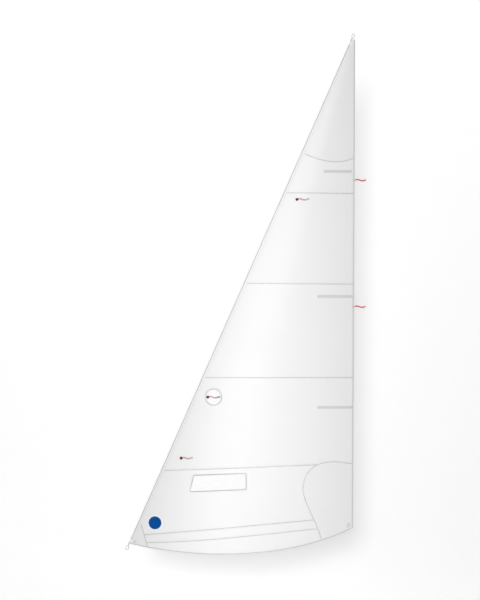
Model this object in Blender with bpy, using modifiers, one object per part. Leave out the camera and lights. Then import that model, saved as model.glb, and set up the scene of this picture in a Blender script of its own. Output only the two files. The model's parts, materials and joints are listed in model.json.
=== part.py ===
"""Cross-cut jib of a two-person dinghy, hoisted and sheeted amidships.

+X runs aft, +Z up and +Y to starboard. The origin is the centre of the tack thimble's eye, on the
axis of the luff wire. All sizes are in metres.
"""

import math

import bmesh
import bpy
from mathutils import Matrix, Vector

# Sail outline, measured from the tack corner of the cloth
LUFF_LENGTH = 4.119
LUFF_RAKE = math.radians(23.82)
HEAD_WIDTH = 0.030
CLEW = (1.6774, 0.1159)
FOOT_HANDLES = ((0.4865, -0.1074), (1.1843, -0.1324))

# Moulded form: depth of camber over chord, and where each section turns straight
CAMBER = 0.08
FLAT_FROM = 0.46
FACETS = 10

# Cloth plies, stacked along Y with a running gap between neighbours
PLY = 0.0004
GAP = 0.0003
STEP = PLY + GAP
SEAM_LAP = 0.015

# Luff wire with its end fittings
WIRE_RADIUS = 0.002
EYE_RADIUS = 0.0116
LEG_OFFSET = 0.00225
THROAT = 0.031
FERRULE_LENGTH = 0.018
EASE_LENGTH = 0.018
TACK_RISE = 0.038
HEAD_RISE = 0.034
THIMBLE_DEPTH = 0.00355
THIMBLE_HALF_WIDTH = 0.0036
GROOVE_RADIUS = 0.0023

# Luff sleeve, edge tapes and the inset of the cloth inside them
SLEEVE_RADIUS = 0.0036
SLEEVE_BORE = 0.0025
SLEEVE_FLANGE = 0.020
SLEEVE_CAVITY = 0.006
SLEEVE_SETBACK = 0.075
LUFF_INSET = 0.008
TAPE_WIDTH = 0.009
TAPE_WEB = 0.0015
EDGE_INSET = 0.002
CAVITY_REACH = 0.012

# Seams as height at the tack corner's station and rise over run, above the tack corner
SEAMS = ((0.5323, 0.03777), (1.2456, -0.0006), (1.9452, -0.0064), (2.6390, -0.0113))
BAND_TOP = (0.0614, 0.08706)
BAND_BOTTOM = ((0.0, 0.004), (0.45, 0.004), (0.9, 0.055), (1.6819, 0.136))
SKIRT_START = 0.030

# Edges of the corner patches, from the luff or the leech to the next free edge
HEAD_PATCH_EDGE = ((1.2857, 2.9227), (1.4319, 2.8504), (1.5678, 2.8206), (1.6894, 2.8816))
TACK_PATCH_EDGE = ((0.0800, 0.1839), (0.1045, 0.1455), (0.1314, 0.0161), (0.1517, -0.0284))
CLEW_PATCH_TOP = ((1.6819, 0.5920), (1.5547, 0.6322), (1.3119, 0.6446), (1.2992, 0.4186))
CLEW_PATCH_FRONT = ((1.2992, 0.4186), (1.2907, 0.3205), (1.4200, 0.1400), (1.4374, 0.0172))

# Windows and emblem
WINDOW_LAP = 0.007
FOOT_WINDOW = ((0.4844, 0.5158), (0.8813, 0.5315), (0.8813, 0.4044), (0.4545, 0.3872))
ROUND_WINDOW = (0.6357, 1.0951)
ROUND_WINDOW_RADIUS = 0.064
EMBLEM = (0.1981, 0.1570)
EMBLEM_BACKING_RADIUS = 0.059
EMBLEM_RADIUS = 0.048

# Battens: height of the pocket, its forward end and how far it stops short of the leech
BATTENS = {
    "upper": (2.7800, 1.4576, 0.0230),
    "middle": (1.8471, 1.4090, 0.0093),
    "lower": (1.0181, 1.4090, 0.0093),
}
POCKET_HEIGHT = 0.018
POCKET_COVER = 0.0007
BATTEN_HEIGHT = 0.013
BATTEN_THICKNESS = 0.0015
BATTEN_LEVEL = -0.0033
BATTEN_END_GAP = 0.003

# Telltales on the luff and ribbons at the leech
TELLTALES = {"upper": (1.2580, 2.5714), "middle": (0.5920, 1.0951), "lower": (0.3932, 0.6399)}
DOT_RADIUS = 0.011
TAIL_LENGTH = 0.095
TAIL_WIDTH = 0.010
TAIL_START = -0.005
TAIL_GAP = 0.0005
TAIL_THICKNESS = 0.0004
TAIL_FLAT = 0.012
STARBOARD_LIFT = math.radians(8.5)
WAVE_LENGTH = 0.078
WAVE_HEIGHT = 0.0045
LEECH_RIBBONS = {"upper": 2.7157, "lower": 1.7701}
RIBBON_LENGTH = 0.086
TAB_SIZE = 0.016
TAB_REACH = 0.002

# Eyelets: inset from the two free edges, bore, flange
CLEW_INSET = 0.034
CLEW_BORE = 0.008
CLEW_FLANGE = 0.016
TACK_INSET = 0.024
TACK_BORE = 0.0045
TACK_FLANGE = 0.010
EYELET_WALL = 0.001
EYELET_CLEARANCE = 0.001
LIP_REACH = 0.0016

# How far runs and cutters go past what they trim
RUN_SPAN = (-0.1, 1.9)
RUN_PAST = 0.1
ROOM_PAST = 0.010
BARREL_REACH = 0.05

# Mesh resolution
MERGE = 1e-6
LEG_STEPS = 8
EYE_STEPS = 20
EASE_STEPS = 6
CURVE_STEPS = 20
ARC_STEPS = 32
DOT_STEPS = 20
TUBE_STEPS = 24
TAIL_STEPS = 16

PORT_FACE = -1
STARBOARD_FACE = 1

# Levels of the port faces of the plies, along Y from the moulded surface
FRONT_PLY = 0.0
BACK_PLY = STEP
PATCH_PORT = -STEP
PATCH_STARBOARD = 2 * STEP
TAPE_PORT = -2 * STEP
TAPE_STARBOARD = 3 * STEP + PLY

LUFF_DIRECTION = Vector((math.sin(LUFF_RAKE), 0.0, math.cos(LUFF_RAKE)))
LUFF_ACROSS = Vector((math.cos(LUFF_RAKE), 0.0, -math.sin(LUFF_RAKE)))
HEAD_EYE = TACK_RISE + LUFF_LENGTH + HEAD_RISE
ZERO = Vector((0.0, 0.0, 0.0))


def clear_scene():
    """Remove what the start-up scene holds."""
    for item in list(bpy.data.objects):
        bpy.data.objects.remove(item)


def new_collection(name):
    """A collection linked to the scene."""
    collection = bpy.data.collections.new(name)
    bpy.context.scene.collection.children.link(collection)
    return collection


def new_material(name, colour, roughness, metallic):
    """A Principled material."""
    material = bpy.data.materials.new(name)
    material.use_nodes = True
    shader = material.node_tree.nodes["Principled BSDF"]
    shader.inputs["Base Color"].default_value = (*colour, 1.0)
    shader.inputs["Roughness"].default_value = roughness
    shader.inputs["Metallic"].default_value = metallic
    return material


clear_scene()
JIB = new_collection("jib_sail")
CUTTERS = new_collection("cutters")

CLOTH = new_material("cloth", (0.90, 0.90, 0.90), 0.75, 0.0)
PATCH_CLOTH = new_material("patch_cloth", (0.85, 0.85, 0.86), 0.75, 0.0)
TAPE = new_material("tape", (0.80, 0.80, 0.82), 0.7, 0.0)
POCKET = new_material("pocket", (0.60, 0.60, 0.62), 0.7, 0.0)
FILM = new_material("film", (0.88, 0.92, 0.95), 0.15, 0.0)
STEEL = new_material("steel", (0.62, 0.63, 0.65), 0.25, 1.0)
ALLOY = new_material("alloy", (0.75, 0.76, 0.78), 0.35, 1.0)
BATTEN = new_material("batten", (0.80, 0.82, 0.70), 0.4, 0.0)
DARK_RED = new_material("dark_red", (0.30, 0.01, 0.01), 0.6, 0.0)
RED = new_material("red", (0.75, 0.12, 0.08), 0.6, 0.0)
GREEN = new_material("green", (0.02, 0.35, 0.10), 0.6, 0.0)
BLUE = new_material("blue", (0.00, 0.07, 0.31), 0.5, 0.0)
WHITE = new_material("white", (0.92, 0.92, 0.92), 0.5, 0.0)


def placed(point):
    """A point of the sail plan, counted from the tack corner, as world x and z."""
    corner = LUFF_DIRECTION * TACK_RISE - LUFF_ACROSS * SLEEVE_RADIUS
    return (corner.x + point[0], corner.z + point[1])


def placed_all(points):
    """Points of the sail plan as world x and z."""
    return [placed(point) for point in points]


def on_wire(across, along):
    """World x and z of a point given from the wire's axis, in the plane of the sail."""
    point = LUFF_ACROSS * across + LUFF_DIRECTION * along
    return (point.x, point.z)


CLEW_POINT = placed(CLEW)
HEAD_POINT = placed(
    (LUFF_LENGTH * math.sin(LUFF_RAKE) + HEAD_WIDTH, LUFF_LENGTH * math.cos(LUFF_RAKE))
)
LEECH_LEAN = (HEAD_POINT[0] - CLEW_POINT[0]) / (HEAD_POINT[1] - CLEW_POINT[1])


def luff_x(z):
    """Where the wire's axis stands at a height."""
    return z * math.tan(LUFF_RAKE)


def leech_x(z):
    """Where the leech stands at a height."""
    return CLEW_POINT[0] + (z - CLEW_POINT[1]) * LEECH_LEAN


def section_depth(station):
    """Depth of a section over its chord, per unit of camber: a round entry and a straight exit."""
    slope = 4 / (2 - FLAT_FROM) ** 2
    bend = slope / FLAT_FROM**2
    entry = slope * (2 / FLAT_FROM - 1)
    if station < FLAT_FROM:
        return entry * station - bend * station**2
    return slope * (1 - station)


STATIONS = [FLAT_FROM * index / FACETS for index in range(FACETS + 1)] + [1.0]


def surface_y(x, z):
    """The moulded surface: facets along rays from the point where luff and leech would meet."""
    chord = leech_x(z) - luff_x(z)
    station = (x - luff_x(z)) / chord
    index = 0
    while index < len(STATIONS) - 2 and station > STATIONS[index + 1]:
        index += 1
    low, high = STATIONS[index], STATIONS[index + 1]
    low_depth, high_depth = section_depth(low), section_depth(high)
    depth = low_depth + (high_depth - low_depth) * (station - low) / (high - low)
    return -CAMBER * chord * depth


def surface_slopes(x, z):
    """How fast the moulded surface moves along Y with x and with z."""
    small = 1e-4
    along_x = (surface_y(x + small, z) - surface_y(x - small, z)) / (2 * small)
    along_z = (surface_y(x, z + small) - surface_y(x, z - small)) / (2 * small)
    return along_x, along_z


def bezier(handles, steps=CURVE_STEPS):
    """Points along a cubic curve."""
    start, first, second, end = (Vector(handle) for handle in handles)
    points = []
    for index in range(steps + 1):
        t = index / steps
        rest = 1 - t
        point = start * rest**3 + first * (3 * rest**2 * t) + second * (3 * rest * t**2) + end * t**3
        points.append(tuple(point))
    return points


def circle(centre, radius, steps=ARC_STEPS):
    """Points around a circle."""
    turn = 2 * math.pi / steps
    return [
        (centre[0] + radius * math.cos(turn * index), centre[1] + radius * math.sin(turn * index))
        for index in range(steps)
    ]


def bar(centre_x, centre_z, half_length, radius, steps=DOT_STEPS):
    """A strip with half-round ends."""
    points = []
    for side, sign in ((0, 1), (1, -1)):
        for index in range(steps // 2 + 1):
            angle = -math.pi / 2 + math.pi * (side + 2 * index / steps)
            points.append(
                (
                    centre_x + sign * half_length + radius * math.cos(angle),
                    centre_z + radius * math.sin(angle),
                )
            )
    return points


def shifted(points, distance):
    """A left-to-right run of points moved to its upper side by a distance."""
    result = []
    last = len(points) - 1
    for index, (x, z) in enumerate(points):
        before, after = points[max(index - 1, 0)], points[min(index + 1, last)]
        run, rise = after[0] - before[0], after[1] - before[1]
        length = math.hypot(run, rise)
        result.append((x - rise / length * distance, z + run / length * distance))
    return result


def past_luff(point, inset):
    """How far a point lies aft of a line along the wire's axis."""
    return point[0] * LUFF_ACROSS.x + point[1] * LUFF_ACROSS.z - inset


def before_leech(point, inset):
    """How far a point lies ahead of a line along the leech."""
    return leech_x(point[1]) - inset - point[0]


def crossing(first, second, measure, inset):
    """Where the run between two points crosses an edge's line."""
    near, far = measure(first, inset), measure(second, inset)
    part = near / (near - far)
    return (first[0] + (second[0] - first[0]) * part, first[1] + (second[1] - first[1]) * part)


def trimmed(points, luff=LUFF_INSET, leech=EDGE_INSET):
    """The part of a left-to-right run that lies between the luff's and the leech's inset lines."""
    for measure, inset in ((past_luff, luff), (before_leech, leech)):
        kept = []
        for index, point in enumerate(points):
            inside = measure(point, inset) >= 0
            if index and inside != (measure(points[index - 1], inset) >= 0):
                kept.append(crossing(points[index - 1], point, measure, inset))
            if inside:
                kept.append(point)
        points = kept
    return points


def straight(line, lift=0.0):
    """A seam given by height and slope, as a run across the whole sail."""
    height, slope = line
    return placed_all([(x, height + slope * x + lift) for x in RUN_SPAN])


FOOT = bezier([placed(point) for point in ((0.0, 0.0), *FOOT_HANDLES, CLEW)])
HEAD_TOP = [
    (HEAD_POINT[0] - 2 * RUN_PAST, HEAD_POINT[1]),
    (HEAD_POINT[0] + RUN_PAST, HEAD_POINT[1]),
]


def flat_mesh(name, outline, holes=()):
    """A filled flat outline, less its holes."""
    curve = bpy.data.curves.new(name + "_outline", "CURVE")
    curve.dimensions = "2D"
    curve.fill_mode = "BOTH"
    for ring in (outline, *holes):
        spline = curve.splines.new("POLY")
        spline.points.add(len(ring) - 1)
        for point, (x, z) in zip(spline.points, ring):
            point.co = (x, z, 0.0, 1.0)
        spline.use_cyclic_u = True
    guide = bpy.data.objects.new(name + "_outline", curve)
    bpy.context.scene.collection.objects.link(guide)
    graph = bpy.context.evaluated_depsgraph_get()
    mesh = bpy.data.meshes.new_from_object(guide.evaluated_get(graph), depsgraph=graph)
    bpy.data.objects.remove(guide)
    bpy.data.curves.remove(curve)
    mesh.name = name
    return mesh


def apex_point():
    """Where the lines of the luff and the leech meet, in world x and z."""
    tangent = math.tan(LUFF_RAKE)
    height = (CLEW_POINT[0] - CLEW_POINT[1] * LEECH_LEAN) / (tangent - LEECH_LEAN)
    return (luff_x(height), height)


APEX = apex_point()


def split_along_rays(shape):
    """Cut a flat mesh along every ray where the moulded surface turns."""
    for station in STATIONS[1:-1]:
        foot = Vector((station * leech_x(0.0), 0.0, 0.0))
        ray = Vector((APEX[0], APEX[1], 0.0)) - foot
        geometry = shape.verts[:] + shape.edges[:] + shape.faces[:]
        bmesh.ops.bisect_plane(
            shape, geom=geometry, dist=MERGE, plane_co=foot, plane_no=(ray.y, -ray.x, 0.0)
        )


def add_object(name, mesh, material, collection=JIB):
    """An object of the sail with its material."""
    thing = bpy.data.objects.new(name, mesh)
    collection.objects.link(thing)
    if material:
        mesh.materials.clear()
        mesh.materials.append(material)
    return thing


def add_cutter(name, mesh):
    """A hidden object that a Boolean uses."""
    thing = add_object(name, mesh, None, CUTTERS)
    thing.hide_render = True
    thing.display_type = "WIRE"
    return thing


def slab_mesh(name, outline, level, thickness, holes=()):
    """A flat pattern laid on the moulded surface and thickened along Y."""
    mesh = flat_mesh(name, outline, holes)
    shape = bmesh.new()
    shape.from_mesh(mesh)
    bmesh.ops.remove_doubles(shape, verts=shape.verts, dist=MERGE)
    split_along_rays(shape)
    for vertex in shape.verts:
        x, z = vertex.co.x, vertex.co.y
        vertex.co = (x, surface_y(x, z) + level, z)
    raised = bmesh.ops.extrude_face_region(shape, geom=shape.faces[:])["geom"]
    corners = [item for item in raised if isinstance(item, bmesh.types.BMVert)]
    bmesh.ops.translate(shape, verts=corners, vec=(0.0, thickness, 0.0))
    bmesh.ops.recalc_face_normals(shape, faces=shape.faces[:])
    shape.to_mesh(mesh)
    shape.free()
    return mesh


def ply(name, outline, level, material, holes=(), thickness=PLY):
    """One layer of cloth or film."""
    return add_object(name, slab_mesh(name, outline, level, thickness, holes), material)


def cutter_slab(name, outline, low, high):
    """A cutter that follows the moulded surface between two levels."""
    return add_cutter(name, slab_mesh(name, outline, low, high - low))


def use_boolean(target, tool, operation):
    """A live Boolean with one tool."""
    modifier = target.modifiers.new(operation.lower() + "_" + tool.name, "BOOLEAN")
    modifier.operation = operation
    modifier.solver = "EXACT"
    modifier.object = tool


def cylinder_mesh(name, radius, start, end, steps=TUBE_STEPS):
    """A round bar between two world points."""
    shape = bmesh.new()
    bmesh.ops.create_cone(
        shape,
        cap_ends=True,
        segments=steps,
        radius1=radius,
        radius2=radius,
        depth=(end - start).length,
    )
    turn = (end - start).to_track_quat("Z", "Y").to_matrix().to_4x4()
    bmesh.ops.transform(shape, matrix=Matrix.Translation((start + end) / 2) @ turn, verts=shape.verts)
    mesh = bpy.data.meshes.new(name)
    shape.to_mesh(mesh)
    shape.free()
    return mesh


def smooth(mesh, angle=math.radians(35)):
    """Shade round faces smooth and keep the sharp edges."""
    mesh.shade_smooth()
    mesh.set_sharp_from_angle(angle=angle)


def clew_eyelet_place():
    """Centre of the clew eyelet, the same distance from the leech and from the foot's end."""
    end = Vector((FOOT[-1][0] - FOOT[-2][0], FOOT[-1][1] - FOOT[-2][1])).normalized()
    x = CLEW_POINT[0] - CLEW_INSET
    z = CLEW_POINT[1] - CLEW_INSET * end.y / end.x + CLEW_INSET / end.x
    return (x, z)


def tack_eyelet_place():
    """Centre of the tack eyelet, one inset from the cloth's luff edge and one from the foot."""
    start = Vector((FOOT[1][0] - FOOT[0][0], FOOT[1][1] - FOOT[0][1])).normalized()
    across = LUFF_INSET + TACK_INSET
    corner = Vector(FOOT[0]) + Vector((-start.y, start.x)) * TACK_INSET
    slide = (across - past_luff(corner, 0.0)) / (start.x * LUFF_ACROSS.x + start.y * LUFF_ACROSS.z)
    return tuple(corner + start * slide)


CLEW_EYE = clew_eyelet_place()
TACK_EYE = tack_eyelet_place()


def eyelet_holes(place, bore):
    """The hole that an eyelet's barrel takes in each ply."""
    return [circle(place, bore + EYELET_WALL + EYELET_CLEARANCE, DOT_STEPS)]


def height_of(run, x):
    """Height of a left-to-right run of points at x."""
    for first, second in zip(run, run[1:]):
        if first[0] <= x <= second[0]:
            return first[1] + (second[1] - first[1]) * (x - first[0]) / (second[0] - first[0])
    return run[0][1] if x < run[0][0] else run[-1][1]


def build_panels():
    """The seven cloths. Those behind run under their neighbours by a lap at each seam."""
    band_bottom = placed_all(bezier(BAND_BOTTOM))
    lapped_bottom = shifted(band_bottom, SEAM_LAP)
    foot_inner = shifted(FOOT, EDGE_INSET)
    skirt_start = placed((SKIRT_START, 0.0))[0]
    skirt_low = [point for point in trimmed(foot_inner) if point[0] > skirt_start]
    skirt_high = [point for point in trimmed(lapped_bottom) if point[0] > skirt_start]
    barrel = cylinder_mesh(
        "clew_barrel_room",
        CLEW_BORE + EYELET_WALL + EYELET_CLEARANCE,
        Vector((CLEW_EYE[0], -BARREL_REACH, CLEW_EYE[1])),
        Vector((CLEW_EYE[0], BARREL_REACH, CLEW_EYE[1])),
        DOT_STEPS,
    )
    barrel_room = add_cutter("clew_barrel_room", barrel)
    skirt = ply("foot_skirt", skirt_low + skirt_high[::-1], BACK_PLY, CLOTH)
    use_boolean(skirt, barrel_room, "DIFFERENCE")
    band_outline = trimmed(band_bottom) + trimmed(straight(BAND_TOP))[::-1]
    band = ply("foot_band", band_outline, FRONT_PLY, CLOTH, eyelet_holes(TACK_EYE, TACK_BORE))
    use_boolean(band, barrel_room, "DIFFERENCE")

    round_hole = circle(placed(ROUND_WINDOW), ROUND_WINDOW_RADIUS - WINDOW_LAP)
    holes = {"panel_1": [inner_window()], "panel_2": [round_hole]}
    edges = [BAND_TOP, *SEAMS]
    for index, low in enumerate(edges):
        behind = index % 2 == 0
        lap = SEAM_LAP if behind else 0.0
        name = "head_panel" if index == len(SEAMS) else f"panel_{index + 1}"
        top = trimmed(HEAD_TOP) if index == len(SEAMS) else trimmed(straight(edges[index + 1], lap))
        bottom = trimmed(straight(low, -lap))
        level = BACK_PLY if behind else FRONT_PLY
        ply(name, bottom + top[::-1], level, CLOTH, holes.get(name, ()))


def inner_window():
    """The cut-out behind the foot window, one lap inside the film's edge."""
    corners = placed_all(FOOT_WINDOW)
    middle = Vector((0.0, 0.0))
    for corner in corners:
        middle += Vector(corner) / len(corners)
    result = []
    for x, z in corners:
        side = math.copysign(WINDOW_LAP, middle.x - x)
        rise = math.copysign(WINDOW_LAP, middle.y - z)
        result.append((x + side, z + rise))
    return result


def build_windows():
    """Clear film, lapped over its cut-out on the port face."""
    ply("foot_window", placed_all(FOOT_WINDOW), BACK_PLY - STEP, FILM)
    ring = circle(placed(ROUND_WINDOW), ROUND_WINDOW_RADIUS)
    ply("telltale_window", ring, FRONT_PLY - STEP, FILM)


def patch_outlines():
    """Outline and holes of each corner patch."""
    foot_inner = shifted(FOOT, EDGE_INSET)
    head_edge = trimmed(placed_all(bezier(HEAD_PATCH_EDGE)))
    head = head_edge + trimmed(HEAD_TOP)[::-1]

    tack_edge = [
        point
        for point in trimmed(placed_all(bezier(TACK_PATCH_EDGE)))
        if point[1] > height_of(foot_inner, point[0]) + PLY
    ]
    tack_end = (tack_edge[-1][0], height_of(foot_inner, tack_edge[-1][0]))
    tack_foot = [point for point in trimmed(foot_inner) if point[0] < tack_end[0]]
    tack = [*tack_edge, tack_end, *tack_foot[::-1]]

    front = placed_all(bezier(CLEW_PATCH_TOP)) + placed_all(bezier(CLEW_PATCH_FRONT))[1:]
    front = [
        point
        for point in front
        if before_leech(point, EDGE_INSET) > 0 and point[1] > height_of(foot_inner, point[0]) + PLY
    ]
    clew_start = (leech_x(front[0][1]) - EDGE_INSET, front[0][1])
    clew_end = (front[-1][0], height_of(foot_inner, front[-1][0]))
    clew_foot = [point for point in trimmed(foot_inner) if point[0] > clew_end[0]]
    clew = [clew_start, *front, clew_end, *clew_foot]
    return {
        "head": (head, []),
        "tack": (tack, eyelet_holes(TACK_EYE, TACK_BORE)),
        "clew": (clew, eyelet_holes(CLEW_EYE, CLEW_BORE)),
    }


def build_patches():
    """A doubling on each side of the cloth at head, tack and clew."""
    for corner, (outline, holes) in patch_outlines().items():
        ply(corner + "_patch_port", outline, PATCH_PORT, PATCH_CLOTH, holes)
        ply(corner + "_patch_starboard", outline, PATCH_STARBOARD, PATCH_CLOTH, holes)


def hollow_slab(name, outline, cavity, material):
    """A folded tape: a thick slab with room for the plies that it binds."""
    thickness = TAPE_STARBOARD - TAPE_PORT
    tape = ply(name, outline, TAPE_PORT, material, thickness=thickness)
    room = cutter_slab(name + "_room", cavity, TAPE_PORT + PLY, TAPE_STARBOARD - PLY)
    use_boolean(tape, room, "DIFFERENCE")
    return tape


def build_tapes():
    """The bindings of leech and foot, folded round the cloth's edge."""
    foot_inner = height_of(FOOT, CLEW_POINT[0] - TAPE_WIDTH)
    leech_band = [
        CLEW_POINT,
        HEAD_POINT,
        (HEAD_POINT[0] - TAPE_WIDTH, HEAD_POINT[1]),
        (CLEW_POINT[0] - TAPE_WIDTH, foot_inner),
    ]
    low, high = CLEW_POINT[1] - TAPE_WIDTH, HEAD_POINT[1] + TAPE_WIDTH
    leech_room = [
        (leech_x(low) - TAPE_WEB, low),
        (leech_x(high) - TAPE_WEB, high),
        (leech_x(high) - CAVITY_REACH, high),
        (leech_x(low) - CAVITY_REACH, low),
    ]
    hollow_slab("leech_tape", leech_band, leech_room, TAPE)

    leech_gap = TAPE_WIDTH + GAP
    lower = trimmed(FOOT, LUFF_INSET, leech_gap)
    upper = trimmed(shifted(FOOT, TAPE_WIDTH), LUFF_INSET, leech_gap)
    start, end = FOOT[0], FOOT[-1]
    longer = [
        (start[0] - ROOM_PAST, start[1]),
        *FOOT[1:-1],
        (end[0] + ROOM_PAST, end[1] + ROOM_PAST / 2),
    ]
    room = shifted(longer, TAPE_WEB) + shifted(longer, CAVITY_REACH)[::-1]
    hollow_slab("foot_tape", lower + upper[::-1], room, TAPE)


def build_sleeve():
    """The luff sleeve: a tube round the wire with a flange on each side of the cloth."""
    start, end = SLEEVE_SETBACK, HEAD_EYE - SLEEVE_SETBACK
    corners = [(0.0, start), (SLEEVE_FLANGE, start), (SLEEVE_FLANGE, end), (0.0, end)]
    low, high = start - CAVITY_REACH, end + CAVITY_REACH
    reach = SLEEVE_FLANGE + CAVITY_REACH
    room = [(SLEEVE_CAVITY, low), (reach, low), (reach, high), (SLEEVE_CAVITY, high)]
    thickness = TAPE_STARBOARD - TAPE_PORT
    outline = [on_wire(*corner) for corner in corners]
    sleeve = ply("luff_sleeve", outline, TAPE_PORT, TAPE, thickness=thickness)
    tube = cylinder_mesh(
        "sleeve_tube", SLEEVE_RADIUS, LUFF_DIRECTION * (start - GAP), LUFF_DIRECTION * (end + GAP)
    )
    use_boolean(sleeve, add_cutter("sleeve_tube", tube), "UNION")
    bore = cylinder_mesh("sleeve_bore", SLEEVE_BORE, LUFF_DIRECTION * low, LUFF_DIRECTION * high)
    use_boolean(sleeve, add_cutter("sleeve_bore", bore), "DIFFERENCE")
    cavity = cutter_slab(
        "sleeve_room",
        [on_wire(*corner) for corner in room],
        TAPE_PORT + PLY,
        TAPE_STARBOARD - PLY,
    )
    use_boolean(sleeve, cavity, "DIFFERENCE")


def wire_end():
    """The wire from its short end through the ferrule, round the eye and back, eye at the origin.

    Each point is given as its distance across and along the wire's axis.
    """
    corner = Vector((LEG_OFFSET, THROAT))
    lean = math.atan2(corner.y, corner.x) - math.acos(EYE_RADIUS / corner.length)
    touch = Vector((math.cos(lean), math.sin(lean))) * EYE_RADIUS
    along = Vector((-math.sin(lean), math.cos(lean)))
    handle = (corner - touch).length / 3
    leg = bezier((corner, corner - Vector((0, handle)), touch + along * handle, touch), LEG_STEPS)
    arc = []
    for index in range(1, EYE_STEPS):
        angle = lean - (math.pi + 2 * lean) * index / EYE_STEPS
        arc.append((EYE_RADIUS * math.cos(angle), EYE_RADIUS * math.sin(angle)))
    other_leg = [(-across, height) for across, height in leg[::-1]]
    return leg, arc, other_leg


def build_wire():
    """The luff wire as one unbroken tube from its short end at the tack to that at the head."""
    leg, arc, other_leg = wire_end()
    top = THROAT + FERRULE_LENGTH + 2 * WIRE_RADIUS
    ease = []
    for index in range(EASE_STEPS + 1):
        part = index / EASE_STEPS
        swing = 0.5 + 0.5 * math.cos(math.pi * part)
        ease.append((LEG_OFFSET * swing, top + EASE_LENGTH * part))
    half = [(-LEG_OFFSET, top), *other_leg[::-1], *arc[::-1], *leg[::-1], *ease]
    upper = [(across, HEAD_EYE - along) for across, along in half[::-1]]
    points = [on_wire(*point) for point in half + upper]
    curve = bpy.data.curves.new("luff_wire", "CURVE")
    curve.dimensions = "3D"
    curve.bevel_depth = WIRE_RADIUS
    curve.bevel_resolution = 2
    curve.use_fill_caps = True
    curve.materials.append(STEEL)
    spline = curve.splines.new("POLY")
    spline.points.add(len(points) - 1)
    for point, (x, z) in zip(spline.points, points):
        point.co = (x, 0.0, z, 1.0)
    wire = bpy.data.objects.new("luff_wire", curve)
    JIB.objects.link(wire)


def groove_profile():
    """Section of a thimble: flat cheeks, a round groove that faces away from the eye."""
    curve = bpy.data.curves.new("groove_profile", "CURVE")
    curve.dimensions = "2D"
    curve.fill_mode = "NONE"
    steps = DOT_STEPS // 2
    groove = []
    for index in range(steps + 1):
        angle = math.pi / 2 + math.pi * index / steps
        groove.append((GROOVE_RADIUS * math.cos(angle), GROOVE_RADIUS * math.sin(angle)))
    chamfer = THIMBLE_HALF_WIDTH / 5
    back = [
        (0.0, -THIMBLE_HALF_WIDTH),
        (chamfer - THIMBLE_DEPTH, -THIMBLE_HALF_WIDTH),
        (-THIMBLE_DEPTH, chamfer - THIMBLE_HALF_WIDTH),
        (-THIMBLE_DEPTH, THIMBLE_HALF_WIDTH - chamfer),
        (chamfer - THIMBLE_DEPTH, THIMBLE_HALF_WIDTH),
        (0.0, THIMBLE_HALF_WIDTH),
    ]
    points = groove + back
    spline = curve.splines.new("POLY")
    spline.points.add(len(points) - 1)
    for point, (x, y) in zip(spline.points, points):
        point.co = (x, y, 0.0, 1.0)
    spline.use_cyclic_u = True
    profile = bpy.data.objects.new("groove_profile", curve)
    CUTTERS.objects.link(profile)
    profile.hide_render = True
    profile.display_type = "WIRE"
    return profile


def build_thimble(name, profile, eye, up):
    """A pear-shaped thimble that lines a wire eye, open at its throat."""
    leg, arc, other_leg = wire_end()
    least = THIMBLE_DEPTH + GAP
    side = [point for point in leg if point[0] > least]
    other_side = [point for point in other_leg if point[0] < -least]
    # Run backwards, so that the body of the profile lies inside the eye
    path = (side + arc + other_side)[::-1]
    curve = bpy.data.curves.new(name, "CURVE")
    curve.dimensions = "2D"
    curve.fill_mode = "NONE"
    curve.bevel_mode = "OBJECT"
    curve.bevel_object = profile
    curve.use_fill_caps = True
    spline = curve.splines.new("POLY")
    spline.points.add(len(path) - 1)
    for point, (across, along) in zip(spline.points, path):
        point.co = (across, along, 0.0, 1.0)
    guide = bpy.data.objects.new(name, curve)
    bpy.context.scene.collection.objects.link(guide)
    graph = bpy.context.evaluated_depsgraph_get()
    mesh = bpy.data.meshes.new_from_object(guide.evaluated_get(graph), depsgraph=graph)
    bpy.data.objects.remove(guide)
    shape = bmesh.new()
    shape.from_mesh(mesh)
    bmesh.ops.remove_doubles(shape, verts=shape.verts, dist=MERGE)
    frame = Matrix(
        (
            (LUFF_ACROSS.x, LUFF_DIRECTION.x * up, 0.0, 0.0),
            (0.0, 0.0, 1.0, 0.0),
            (LUFF_ACROSS.z, LUFF_DIRECTION.z * up, 0.0, 0.0),
            (0.0, 0.0, 0.0, 1.0),
        )
    )
    bmesh.ops.transform(shape, matrix=frame, verts=shape.verts)
    bmesh.ops.recalc_face_normals(shape, faces=shape.faces[:])
    shape.to_mesh(mesh)
    shape.free()
    smooth(mesh)
    thimble = add_object(name, mesh, ALLOY)
    thimble.location = eye


def build_ferrule(name, centre):
    """An oval ferrule pressed over both legs of the wire."""
    curve = bpy.data.curves.new(name, "CURVE")
    curve.dimensions = "2D"
    curve.fill_mode = "BOTH"
    curve.extrude = FERRULE_LENGTH / 2
    curve.materials.append(ALLOY)
    bore = WIRE_RADIUS + GAP
    for radius in (2 * WIRE_RADIUS, bore):
        points = bar(0.0, 0.0, LEG_OFFSET, radius)
        spline = curve.splines.new("POLY")
        spline.points.add(len(points) - 1)
        for point, (across, side) in zip(spline.points, points):
            point.co = (across, side, 0.0, 1.0)
        spline.use_cyclic_u = True
    ferrule = bpy.data.objects.new(name, curve)
    JIB.objects.link(ferrule)
    ferrule.location = centre
    ferrule.rotation_euler = (0.0, LUFF_RAKE, 0.0)


def build_wire_ends():
    """A thimble and a ferrule at each end of the luff wire."""
    profile = groove_profile()
    middle = THROAT + GAP + FERRULE_LENGTH / 2
    build_thimble("tack_thimble", profile, ZERO, 1)
    build_thimble("head_thimble", profile, LUFF_DIRECTION * HEAD_EYE, -1)
    build_ferrule("tack_ferrule", LUFF_DIRECTION * middle)
    build_ferrule("head_ferrule", LUFF_DIRECTION * (HEAD_EYE - middle))


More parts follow.
